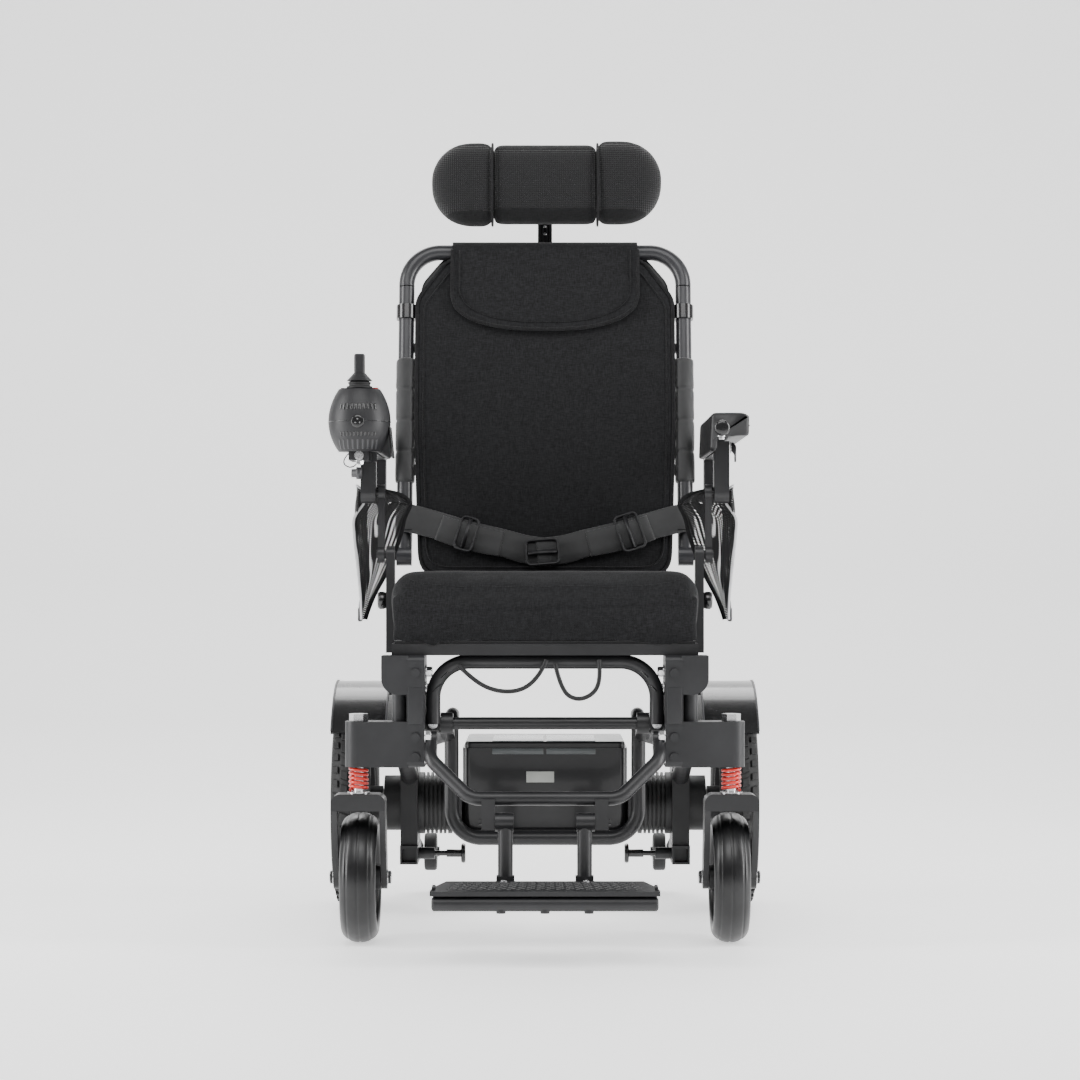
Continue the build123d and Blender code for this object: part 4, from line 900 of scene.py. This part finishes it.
def headrest():
    centre_f, centre_s = 0.038, 0.577
    parts = (("headrest_roll", None, 0), ("headrest_lobe_right", 1, 0.003), ("headrest_lobe_left", -1, 0.0))
    for name, side, lift in parts:
        rings = []
        if side is None:
            xs = [-0.079 + 0.158 * i / 30 for i in range(31)]
        else:
            reach = 0.0995 if side > 0 else 0.0945
            xs = [0.0792 + reach * (1 - (1 - i / 30) ** 1.6) for i in range(31)]
        for x in xs:
            if side is None:
                edge = 1 - 0.08 * max(0.0, (abs(x) - 0.068) / 0.011) ** 2
                rf, rs = 0.0445 * edge, 0.0625 * edge
            else:
                k = max(0.03, lobe_scale(x, 0.079, 0.0802 + reach))
                rf, rs = 0.048 * (0.25 + 0.75 * k), 0.0655 * k
            ring = []
            for n in range(48):
                a = 2 * math.pi * n / 48
                forward = math.copysign(abs(math.cos(a)) ** 0.92, math.cos(a))
                ring.append(on_back(x * (side or 1), centre_f + rf * forward, centre_s + lift + rs * math.sin(a)))
            rings.append(ring)
        pillow = loft(name, rings, "spacer_mesh")
        puff(pillow, 0.005, 3.0, 16, 0.005)
        pillow.data.materials.append(MATERIALS["smooth_knit"])
        up = on_back(0, 0, 1) - on_back(0, 0, 0)
        forward = on_back(0, 1, 0) - on_back(0, 0, 0)
        middle = on_back(0, centre_f, centre_s + lift)
        for face in pillow.data.polygons:
            rise = abs((face.center - middle).dot(up))
            ahead = (face.center - middle).dot(forward)
            limit = 0.047 if side is None else 0.052
            face.material_index = 0 if rise < limit and ahead > -0.012 else 1
        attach(pillow, "headrest")
        if side is None:
            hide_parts("headrest_pillow")
    for side_name, side in SIDES.items():
        path = []
        for k in range(72):
            a = 2 * math.pi * k / 72
            path.append(on_back(side * 0.0808, centre_f + 0.0476 * math.cos(a), centre_s + 0.0641 * math.sin(a)))
        pipe = sweep("headrest_piping_" + side_name, path, 0.0036, 0.0036, "binding", "headrest", closed=True, sides=8)
    # Ribs and holes down the post
    for n, x in enumerate((-0.006, 0.0, 0.006)):
        rib = sweep("headrest_rib_%d" % n, [on_back(x, -0.0166, s) for s in (0.452, 0.48, 0.51, 0.54, 0.568)],
                    0.0026, 0.0016, "gloss_black", "head_post", sides=8, first=Vector((1, 0, 0)))
    for n in range(3):
        fastener("headrest_post_screw_%d" % n, on_back(0.0, -0.0165, 0.516 + 0.012 * n), on_back(0, 1, 0) - on_back(0, 0, 0),
                 0.0021, 0.0012, "head_post", sides=0, washer=1.2)


# Armrests


def arm_pads():
    lengths = {"right": 0.375, "left": 0.322}
    for side_name, side in SIDES.items():
        start, end = 0.077, lengths[side_name] - 0.001
        section = rounded([(0.2335, 0.7365, 0.008), (0.2835, 0.7365, 0.008), (0.2875, 0.7305, 0.004),
                           (0.2872, 0.704, 0.004), (0.2575, 0.7028, 0.003), (0.2572, 0.6985, 0.0012),
                           (0.2400, 0.6985, 0.0012), (0.2392, 0.681, 0.003), (0.2312, 0.683, 0.003)])
        points = even(section, 96)
        middle = Vector((0.259, 0.718))
        rings = []
        steps = 56
        for i in range(steps + 1):
            t = i / steps
            e = min(t, 1 - t) * (end - start)
            shrink = 1 - 0.11 * max(0.0, 1 - e / 0.008) ** 2
            dip = 0.0022 * math.sin(math.pi * t) ** 2
            ring = []
            for p in points:
                q = middle + (p - middle) * shrink
                z = q.y - (dip * (1 - abs(q.x - 0.259) / 0.03) if q.y > 0.73 else 0)
                z += 0.0004 * mnoise.noise(Vector((q.x * 60, t * 9, q.y * 60)))
                ring.append(at(side * q.x, start + (end - start) * t, z))
            rings.append(ring)
        pad = loft("arm_pad_cover_" + side_name, rings, "pad_vinyl", "arm_top_" + side_name)
        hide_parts("arm_pad_" + side_name)
        line = []
        for i in range(30):
            t = 0.03 + 0.94 * i / 29
            line.append(at(side * 0.2879, start + (end - start) * t, 0.7185))
        seam = sweep("arm_pad_seam_" + side_name, line, 0.0014, 0.0022, "binding", "arm_top_" + side_name, sides=6,
                     first=Vector((1, 0, 0)))
        cap_at = at(side * 0.248, 0.389 if side > 0 else 0.351, 0.714)
        if side > 0:
            lathe_cap("arm_tube_cap", cap_at, Vector((0, -1, 0)), 0.0102, 0.004, "gloss_black", "arm_top_right")
            fastener("arm_tube_bolt", at(0.2475, 0.372, 0.7035), (0, 0, -1), 0.005, 0.005, "arm_top_right")
        ribbon("arm_clamp_lever_" + side_name,
               [at(side * 0.2655, 0.335, 0.690), at(side * 0.2685, 0.352, 0.683), at(side * 0.2675, 0.366, 0.672)],
                       [Vector((0, 0, 1))] * 3, 0.013, 0.0026, "grey_plastic", "arm_top_" + side_name)
        fastener("arm_head_bolt_" + side_name, at(side * 0.2641, 0.3113, 0.690), (side, 0, 0), 0.0062, 0.0055,
                 "arm_" + side_name)
        fastener("arm_eye_bolt_" + side_name, at(side * 0.2643, 0.0413, 0.625), (side, 0, 0), 0.0072, 0.006,
                 "arm_" + side_name)


def lathe_cap(name, point, normal, radius, height, material, body):
    """A domed end cap."""
    side = normal.orthogonal().normalized()
    up = normal.cross(side)
    rings = []
    for scale, z in ((1.0, -0.3), (1.06, 0.0), (1.06, 0.3), (0.98, 0.62), (0.75, 0.86), (0.4, 0.98), (0.06, 1.0)):
        ring = []
        for k in range(28):
            a = 2 * math.pi * k / 28
            ring.append(point + (side * math.cos(a) + up * math.sin(a)) * (radius * scale) + normal * (height * z))
        rings.append(ring)
    return loft(name, rings, material, body)


def bags():
    """A folded net bag under each armrest, with a pale bound edge."""
    for side_name, side in SIDES.items():
        body = "arm_" + side_name
        rings, rear_edge = [], []
        steps = 60
        for i in range(steps + 1):
            t = i / steps
            z = 0.634 - 0.19 * t
            mid_u = 0.201 + 0.062 * t ** 1.4
            half_u = 0.088 * (1 - t) ** 0.75 + 0.006
            half_x = 0.0068 * math.sin(math.pi * min(1.0, 0.25 + t)) ** 0.6 + 0.0012 if t < 0.75 else 0.0068 * (1 - t) + 0.0016
            mid_x = 0.266 + 0.003 * math.sin(t * 7.0)
            ring = []
            for k in range(72):
                a = 2 * math.pi * k / 72
                fold = 0.0012 * math.sin(a * 5 + t * 9)
                x = mid_x + (half_x + fold * 0.6) * math.sin(a)
                x = min(max(x, 0.2572), 0.2748)
                ring.append(at(side * x, mid_u + half_u * math.cos(a), z + 0.002 * math.sin(a * 3)))
            rings.append(ring)
            rear_edge.append(at(side * mid_x, mid_u - half_u - 0.0012, z))
        bag = loft("mesh_bag_net_" + side_name, rings, "bag_mesh", body, caps=False)
        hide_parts("mesh_bag_" + side_name)
        edge = sweep("mesh_bag_rear_binding_" + side_name, rear_edge, 0.0062, 0.0024, "bag_edge", body, sides=8,
                     first=Vector((1, 0, 0)))
        wing_rows = ((0.636, 0.262, 0.262 - 0.028), (0.628, 0.2585, 0.205), (0.612, 0.2595, 0.194),
                     (0.590, 0.2735, 0.2025), (0.565, 0.2735, 0.2085), (0.535, 0.2705, 0.219), (0.505, 0.267, 0.2325),
                     (0.480, 0.2645, 0.246), (0.458, 0.2635, 0.255), (0.444, 0.2632, 0.2595))
        left = smooth_path([(a, 0, z) for z, a, _ in wing_rows], 6)
        right = smooth_path([(b, 0, z) for z, _, b in wing_rows], 6)
        columns = 26
        verts = []
        for i, (a, b) in enumerate(zip(left, right)):
            for k in range(columns + 1):
                t = k / columns
                x = a.x + (b.x - a.x) * t
                sag = 0.012 * math.sin(math.pi * t) + 0.0025 * math.sin(t * 14 + i * 0.12)
                verts.append(at(side * x, 0.288 - sag - 0.03 * t, a.z + (b.z - a.z) * t - 0.006 * t * (i < 12)))
        faces = [(i * (columns + 1) + k, i * (columns + 1) + k + 1, (i + 1) * (columns + 1) + k + 1,
                  (i + 1) * (columns + 1) + k) for i in range(len(left) - 1) for k in range(columns)]
        wing = mesh_piece("mesh_bag_wing_" + side_name, verts, faces, "bag_mesh", body)
        outer = [verts[i * (columns + 1)] + Vector((0, -0.001, 0)) for i in range(12, len(left))]
        inner = [verts[i * (columns + 1) + columns] for i in range(len(left))]
        top = [verts[k] for k in range(0, columns + 1)]
        pale = sweep("mesh_bag_pale_edge_" + side_name, [verts[12 * (columns + 1) + 8] + Vector((0, -0.003, 0.012)),
                     verts[12 * (columns + 1) + 4] + Vector((0, -0.003, 0.008))] + outer, 0.0052, 0.002, "bag_edge", body,
                     sides=8, first=Vector((1, 0, 0)))
        dark = sweep("mesh_bag_dark_edge_" + side_name, top + inner[1:], 0.007, 0.0022, "binding", body, sides=8,
                     first=Vector((0, 0, 1)))
        for piece in (wing, pale, dark):
            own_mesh(piece)
        rim = sweep("mesh_bag_rim_" + side_name, rings[0][::3], 0.003, 0.006, "bag_edge", body, closed=True, sides=8,
                    first=Vector((1, 0, 0)))
        tip = rounded_box("mesh_bag_tip_" + side_name, (0, 0, 0), (0.006, 0.018, 0.02), 0.002, "grey_plastic")
        for v in tip.data.vertices:
            v.co = Vector((side * (v.co.x + 0.2635), REAR_AXLE_Y - 0.272 + v.co.y, 0.441 + v.co.z))
        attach(tip, body)


# Controller


def controller_details():
    body = "arm_top_left"
    tree = surface("controller_shell")
    cx, cy = -0.259, REAR_AXLE_Y - 0.395

    def on_shell(angle, z):
        """Angle from straight ahead, positive towards +X."""
        out = Vector((math.sin(angle), -math.cos(angle), 0))
        origin = Vector((cx, cy, z)) + out * 0.1
        hit, normal, _, _ = tree.ray_cast(origin, -out)
        return hit, normal

    # The seam at the widest level
    for n, (z, size, key) in enumerate(((0.7215, 0.0013, "gloss_black"),)):
        path = [on_shell(2 * math.pi * k / 72, z)[0] for k in range(72)]
        ring = sweep("controller_seam_%d" % n, path, size, size, key, body, closed=True, sides=6)

    def slots(name, z, first, last, count, length, width, lean, key):
        pieces = []
        for k in range(count):
            angle = first + (last - first) * k / max(count - 1, 1)
            lower, n1 = on_shell(angle - lean * angle, z - length / 2)
            upper, n2 = on_shell(angle + lean * angle, z + length / 2)
            mid, n3 = on_shell(angle, z)
            if not (lower and upper and mid):
                continue
            pieces.append(sweep("%s_%d" % (name, k), smooth_path([lower, mid, upper], 4), width, 0.0014, key, body,
                                sides=8, first=n3.cross(Vector((0, 0, 1)))))
        whole = join(name, pieces)

    slots("controller_top_vents", 0.7415, -0.62, 0.62, 10, 0.0085, 0.0034, 0.0, "gloss_black")
    slots("controller_low_vents", 0.7035, -0.62, 0.62, 11, 0.006, 0.0028, 0.0, "gloss_black")
    slots("controller_fan_slots", 0.6895, -0.8, 0.8, 9, 0.013, 0.0032, -0.08, "grey_plastic")
    hit, normal = on_shell(0.0, 0.7205)
    ahead = Vector((0, -1, 0))
    lathe_cap("controller_socket", hit + ahead * -0.0005, ahead, 0.0085, 0.0022, "gloss_black", body)
    for n, (dx, dz) in enumerate(((-0.003, -0.0018), (0.003, -0.0018), (0, 0.0032))):
        fastener("controller_pin_%d" % n, hit + Vector((dx, -0.0016, dz)), ahead, 0.0011, 0.0014, body, sides=0, washer=1)
    # The gaiter under the knob and the flat disc at its foot
    profile = [(0.0172, 0.7675), (0.0182, 0.7692), (0.0178, 0.7712), (0.0150, 0.7722), (0.0146, 0.7742),
               (0.0162, 0.7756), (0.0158, 0.777), (0.0120, 0.7785), (0.0110, 0.7795)]
    boot = lathe_z("joystick_boot", profile, Vector((cx, cy, 0)), "grip_rubber", "stick")
    flap = rounded_box("controller_side_flap", (0, 0, 0), (0.0035, 0.03, 0.044), 0.0015, "gloss_black")
    for v in flap.data.vertices:
        v.co = Vector((cx + 0.0405 + v.co.x + (0.044 - v.co.z) * 0.1, cy - 0.012 + v.co.y, 0.671 + v.co.z))
    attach(flap, body)
    wire = nurbs("controller_wire_loop", [Vector((cx + dx, cy + dy, z)) for dx, dy, z in (
        (-0.012, -0.012, 0.6795), (-0.02, -0.016, 0.6715), (-0.0215, -0.014, 0.6625), (-0.014, -0.008, 0.6575),
        (-0.005, 0.0, 0.6605), (-0.002, 0.004, 0.668))], 0.0016, "cable")
    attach(wire, body)
    # Fixings below the shell
    fastener("controller_bolt_front", at(-0.2585, 0.4152, 0.674), (0, -1, 0), 0.0048, 0.005, body)
    fastener("controller_bolt_low", at(-0.2585, 0.4, 0.6678), (0, 0, -1), 0.0055, 0.006, body)
    knob = lathe_x("controller_clamp_knob", [(0.0, 0.001), (0.0, 0.0082), (-0.0075, 0.0088), (-0.008, 0.0062),
                                             (-0.0145, 0.0058), (-0.015, 0.001)],
                   at(-0.259, 0.345, 0.652), "grey_plastic", "arm_top_left", 24)


# Belt and leads


def belt():
    """Two straps sewn round the back tubes and meeting low in front of the panel."""
    for side_name, side in SIDES.items():
        points = [on_back(side * 0.2262, -0.004, 0.057), on_back(side * 0.2235, 0.0105, 0.0565),
                  on_back(side * 0.213, 0.0166, 0.056), on_back(side * 0.196, 0.0182, 0.052),
                  on_back(side * 0.16, 0.0175, 0.0425), on_back(side * 0.115, 0.019, 0.0275),
                  on_back(side * 0.065, 0.0185, 0.0165), on_back(side * 0.03, 0.0182, 0.0065),
                  on_back(side * -0.012, 0.0192 + 0.0022 * (side > 0), 0.0005)]
        up = on_back(0, 0, 1) - on_back(0, 0, 0)
        ahead = on_back(0, 1, 0) - on_back(0, 0, 0)
        sides = [up, up, up, up + ahead * 0.06, up - ahead * 0.1, up + ahead * 0.12, up - ahead * 0.1,
                 up + ahead * 0.1, up]
        strap = ribbon("lap_belt_strap_" + side_name, points, sides, 0.043, 0.0019, "webbing", "back", 10)
        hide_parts("lap_belt")
        fold = ribbon("lap_belt_fold_" + side_name,
                      [p + ahead * 0.0026 - up * 0.003 for p in points[4:7]],
                      sides[4:7], 0.040, 0.0019, "webbing", "back", 8)
        for n, s in enumerate((0.0365, 0.0755)):
            stitch = ribbon("lap_belt_stitch_%s_%d" % (side_name, n),
                            [on_back(side * x, f, s) for x, f in ((0.2238, 0.0118), (0.213, 0.0178), (0.201, 0.019))],
                            [up] * 3, 0.0012, 0.0008, "binding", "back", 5)
    # A frame buckle on the right strap, an adjuster on the left and the catch where the two meet
    for name, x, s, f, turn, (w, h) in (
        ("lap_belt_slider", 0.128, 0.032, 0.0225, 0.32, (0.034, 0.054)),
        ("lap_belt_adjuster", -0.118, 0.029, 0.0225, -0.3, (0.026, 0.05)),
        ("lap_belt_catch", -0.004, 0.001, 0.0225, 0.08, (0.048, 0.036)),
    ):
        c, q = math.cos(turn), math.sin(turn)
        outline = rounded([(-w / 2, -h / 2, 0.007), (w / 2, -h / 2, 0.007), (w / 2, h / 2, 0.007),
                           (-w / 2, h / 2, 0.007)])
        loop = [on_back(x + p.x * c - p.y * q, f, s + p.x * q + p.y * c) for p in even(outline, 64)]
        ring = sweep(name, loop, 0.0062, 0.0038, "matte_plastic", "back", closed=True, sides=8)
        along = (0, h / 2 - 0.002) if h > w else (w / 2 - 0.002, 0)
        ends = [on_back(x + k * (along[0] * c - along[1] * q), f + 0.0012, s + k * (along[0] * q + along[1] * c))
                for k in (-1, 0, 1)]
        bar = sweep(name + "_bar", ends, 0.008, 0.0034, "matte_plastic", "back", sides=8)


LEADS = (
    ("main_lead", 0.006, "chassis", [(-0.118, 0.4785, 0.384), (-0.096, 0.4805, 0.362), (-0.064, 0.4835, 0.348),
                                     (-0.030, 0.4835, 0.350), (-0.006, 0.4805, 0.372), (0.002, 0.4785, 0.392)]),
    ("side_lead", 0.006, "chassis", [(0.074, 0.4785, 0.392), (0.076, 0.4815, 0.368), (0.068, 0.4845, 0.346),
                                     (0.044, 0.4845, 0.336), (0.022, 0.4825, 0.350), (0.014, 0.4785, 0.386)]),
)


def nurbs(name, points, thickness, material, order=3):
    data = bpy.data.curves.new(name, "CURVE")
    data.dimensions = "3D"
    spline = data.splines.new("NURBS")
    spline.points.add(len(points) - 1)
    for target, p in zip(spline.points, points):
        target.co = (*p, 1)
    spline.order_u = order
    spline.use_endpoint_u = True
    spline.resolution_u = 12
    data.bevel_depth = thickness / 2
    data.bevel_resolution = 4
    data.use_fill_caps = True
    data.materials.append(MATERIALS[material])
    piece = bpy.data.objects.new(name, data)
    bpy.context.scene.collection.objects.link(piece)
    return piece


def leads():
    for name, thickness, body, route in LEADS:
        points = [at(*p) for p in route]
        lead = nurbs(name, points, thickness, "cable")
        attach(lead, body)
        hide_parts("cables")


# Wheels


def caster_tyres():
    for side_name, side in SIDES.items():
        profile = [(-0.017, 0.0645), (-0.021, 0.0655), (-0.0245, 0.07), (-0.0249, 0.0755)]
        for k in range(61):
            a = math.radians(-72 + 144 * k / 60)
            groove = 0.0011 * max(0.0, math.cos(a * 9.5)) ** 6 if abs(a) < 1.05 else 0.0
            r = 0.0715 + (0.0183 - groove) * math.cos(a)
            profile.append((0.0246 * math.sin(a) / math.sin(math.radians(72)) * 0.985, r))
        profile += [(0.0249, 0.0755), (0.0245, 0.07), (0.021, 0.0655), (0.017, 0.0645)]
        centre = at(side * 0.255, 0.432, 0.09)
        tyre = lathe_x("caster_tyre_ribbed_" + side_name, profile, centre, "caster_rubber",
                       "caster_wheel_" + side_name, 128)
        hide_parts("caster_tyre_" + side_name)
        for n, x in enumerate((0.2925, 0.2175)):
            out = 1 if n == 0 else -1
            fastener("caster_axle_%s_%d" % (side_name, n), at(side * x, 0.432, 0.09), (side * out, 0, 0), 0.0075,
                     0.0055, "caster_swivel_" + side_name)


def knob_block(verts, faces, centre, angle, x, r, size, height, skew):
    """One tread block, tapered outwards, standing on the tyre."""
    out = Vector((0, -math.sin(angle), math.cos(angle)))
    along = Vector((0, -math.cos(angle), -math.sin(angle)))
    across = Vector((1, 0, 0))
    lean = math.atan2(x, 0.05)
    normal = (out * math.cos(lean) + across * math.sin(lean)).normalized()
    across = (across * math.cos(lean) - out * math.sin(lean)).normalized()
    base = len(verts)
    origin = centre + Vector((x, 0, 0)) + out * r
    for level, shrink in ((-0.003, 1.06), (height * 0.82, 0.98), (height, 0.82)):
        for a, b in ((-1, -1), (1, -1), (1, 1), (-1, 1)):
            verts.append(origin + across * (a * size[0] / 2 * shrink) + along * ((b * size[1] / 2 + a * skew) * shrink)
                         + normal * level)
    for k in range(2):
        for i in range(4):
            j = (i + 1) % 4
            faces.append((base + 4 * k + i, base + 4 * k + j, base + 4 * k + 4 + j, base + 4 * k + 4 + i))
    faces.append((base + 8, base + 9, base + 10, base + 11))


def rear_tyres():
    for side_name, side in SIDES.items():
        centre = at(side * 0.29, 0, 0.159)
        half, crown, rim = 0.0292, 0.1545, 0.1045
        profile = [(-0.022, rim), (-0.0265, rim + 0.003), (-half, rim + 0.014), (-half, rim + 0.026)]
        for k in range(25):
            a = math.radians(-78 + 156 * k / 24)
            profile.append((half * math.sin(a) / math.sin(math.radians(78)) * 0.99, 0.1325 + (crown - 0.1325) * math.cos(a)))
        profile += [(half, rim + 0.026), (half, rim + 0.014), (0.0265, rim + 0.003), (0.022, rim)]
        tyre = lathe_x("rear_tyre_carcass_" + side_name, profile, centre, "drive_rubber", None, 144)
        verts, faces = [], []
        count = 46
        for n in range(count):
            angle = 2 * math.pi * n / count
            half_step = math.pi / count
            for x, size, skew, shift in ((-0.0075, (0.0115, 0.0125), 0.0022, 0.0), (0.0075, (0.0115, 0.0125), -0.0022, 0.5),
                                         (-0.0205, (0.0095, 0.0105), 0.0015, 0.5), (0.0205, (0.0095, 0.0105), -0.0015, 0.0)):
                r = 0.1325 + (crown - 0.1325) * math.cos(math.asin(min(0.97, abs(x) / half * 0.98)))
                knob_block(verts, faces, centre, angle + 2 * half_step * shift, x, r, size, 0.0036, skew)
        knobs = mesh_piece("rear_tread_" + side_name, verts, faces, "drive_rubber", None, smooth=False)
        whole = join("rear_tyre_knobbly_" + side_name, [tyre, knobs])
        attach(whole, "rear_wheel_" + side_name)
        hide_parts("rear_tyre_" + side_name)
        for v in whole.data.vertices:
            x = v.co.x - centre.x
            if abs(x) > 0.0299:
                v.co.x = centre.x + math.copysign(0.0299, x)


def fender_edges():
    for side_name, side in SIDES.items():
        for n, x in enumerate((0.236, 0.317)):
            path = []
            for k in range(40):
                a = math.radians(-61 + 112 * k / 39)
                r = 0.1872
                path.append(at(side * x, r * math.sin(a), 0.159 + r * math.cos(a)))
            edge = sweep("fender_edge_%s_%d" % (side_name, n), path, 0.0036, 0.003, "grey_plastic", "rear_frame",
                         sides=8, first=Vector((1, 0, 0)))


# Lower frame and battery


def chassis_details():
    for side_name, side in SIDES.items():
        body = "chassis"
        for n, (u, z) in enumerate(((0.452, 0.375), (0.452, 0.352), (0.497, 0.289), (0.497, 0.2615))):
            fastener("leg_nut_%s_%d" % (side_name, n), at(side * 0.1638, u, z), (-side, 0, 0), 0.0072, 0.009, body)
        fastener("cross_collar_bolt_" + side_name, at(side * 0.154, 0.4595, 0.303), (0, -1, 0), 0.0048, 0.005, body)
        strip = rounded_box("leg_edge_strip_" + side_name, (0, 0, 0), (0.02, 0.0012, 0.05), 0.0005, "frame_side")
        for v in strip.data.vertices:
            v.co = Vector((side * (0.166 + v.co.x), REAR_AXLE_Y - 0.5012 + v.co.y, 0.305 + v.co.z))
        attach(strip, body)
        for n, (x, z) in enumerate(((0.137, 0.371), (0.149, 0.352))):
            path = []
            for k in range(28):
                a = 2 * math.pi * k / 28
                path.append(at(side * x, 0.458, z) + Vector((0.0108 * math.cos(a) * 0.75, 0.0108 * math.sin(a),
                                                             -0.0108 * math.cos(a) * 0.65 * side)))
            tie = sweep("zip_tie_%s_%d" % (side_name, n), path, 0.0032, 0.0014, "gloss_black", body, closed=True, sides=6)


def battery_details():
    low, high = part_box("battery_case")
    body = "rear_frame"
    front = low[1]
    top = high[2]
    # Painted reflection: the two lighter grey glossy panels on the lid and the strips along the top of the front face
    # stand in for the pale light caught on the lid's sloping front.
    for n, (x0, x1) in enumerate(((-0.075, -0.002), (0.002, 0.072))):
        panel = rounded_box("battery_window_%d" % n, (x0, front + 0.004, top - 0.0006), (x1, front + 0.16, top + 0.0008),
                            0.0006, "painted_reflection_grey")
        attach(panel, body)
        face = rounded_box("battery_window_front_%d" % n, (x0, front - 0.0012, top - 0.018),
                           (x1, front + 0.0006, top - 0.0095), 0.0005, "painted_reflection_grey")
        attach(face, body)
    label = rounded_box("battery_label", (-0.0265, front - 0.0009, 0.213), (0.013, front + 0.0004, 0.2285), 0.0003,
                        "label_blank")
    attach(label, body)
    # The cradle's tubes turn back over the battery at the top
    for side_name, side in SIDES.items():
        bend = smooth_path([at(side * 0.132, u, z) for u, z in ((0.345, 0.262), (0.345, 0.284), (0.340, 0.300),
                                                                 (0.326, 0.3075), (0.300, 0.309))], 6)
        elbow = sweep("cradle_elbow_" + side_name, bend, 0.0198, 0.0198, "frame_black", body, sides=20)


def footplate_tread():
    """Short raised ribs in staggered rows on the plate, and two rivets."""
    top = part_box("footplate")[1][2] - 0.004
    verts, faces = [], []
    for row in range(9):
        u = 0.588 + 0.0105 * row
        half = 0.118 + 0.012 * row / 9
        count = 20
        for k in range(count):
            x = -half + 2 * half * (k + 0.5 * (row % 2)) / count + 0.004
            if abs(x) > half:
                continue
            turn = 0.7 if row % 2 else -0.7
            base = len(verts)
            for z, shrink in ((-0.0004, 1.0), (0.0009, 0.7)):
                for a, b in ((-1, -1), (1, -1), (1, 1), (-1, 1)):
                    px, py = a * 0.0042 * shrink, b * 0.0011 * shrink
                    verts.append(at(x + px * math.cos(turn) - py * math.sin(turn),
                                    u + px * math.sin(turn) + py * math.cos(turn), top + z))
            for i in range(4):
                j = (i + 1) % 4
                faces.append((base + i, base + j, base + 4 + j, base + 4 + i))
            faces.append((base + 4, base + 5, base + 6, base + 7))
    ribs = mesh_piece("footplate_tread", verts, faces, "matte_plastic", "foot_rest", smooth=False)
    for n, x in enumerate((-0.055, 0.055)):
        fastener("footplate_rivet_%d" % n, at(x, 0.580, top), (0, 0, 1), 0.004, 0.002, "foot_rest", sides=0)


studio()
leads()

paint("frame_black", "seat_frame", "cross_tube", "caster_fork", "battery_cradle", "footrest_hanger", "footrest_legs",
      "arm_frame", "arm_link", "anti_tip_arms", "rear_side_frames")
paint("frame_side", "front_legs", "chassis_bolts")
paint("tube_grey", "back_frame", "back_top_frame", "arm_tube")
paint("gloss_black", "back_collars", "fenders", "pull_pin")
paint("bright_steel", "caster_stem")
paint("spring_red", "caster_spring")
paint("rim_black", "caster_rim", "rear_rim")
paint("motor_case", "motors")
paint("battery_plastic", "battery_case")
paint("lever_red", "clutch_lever")
paint("matte_plastic", "controller_shell", "controller_base", "joystick_gimbal", "joystick", "headrest_post",
      "footplate", "speed_rocker")
paint("button_red", "horn_button")
paint("grip_rubber", "anti_tip_wheel")

seat()
back_cover()
back_flap()
back_sleeves()
headrest()
arm_pads()
bags()
controller_details()
belt()
caster_tyres()
rear_tyres()
fender_edges()
chassis_details()
battery_details()
footplate_tread()
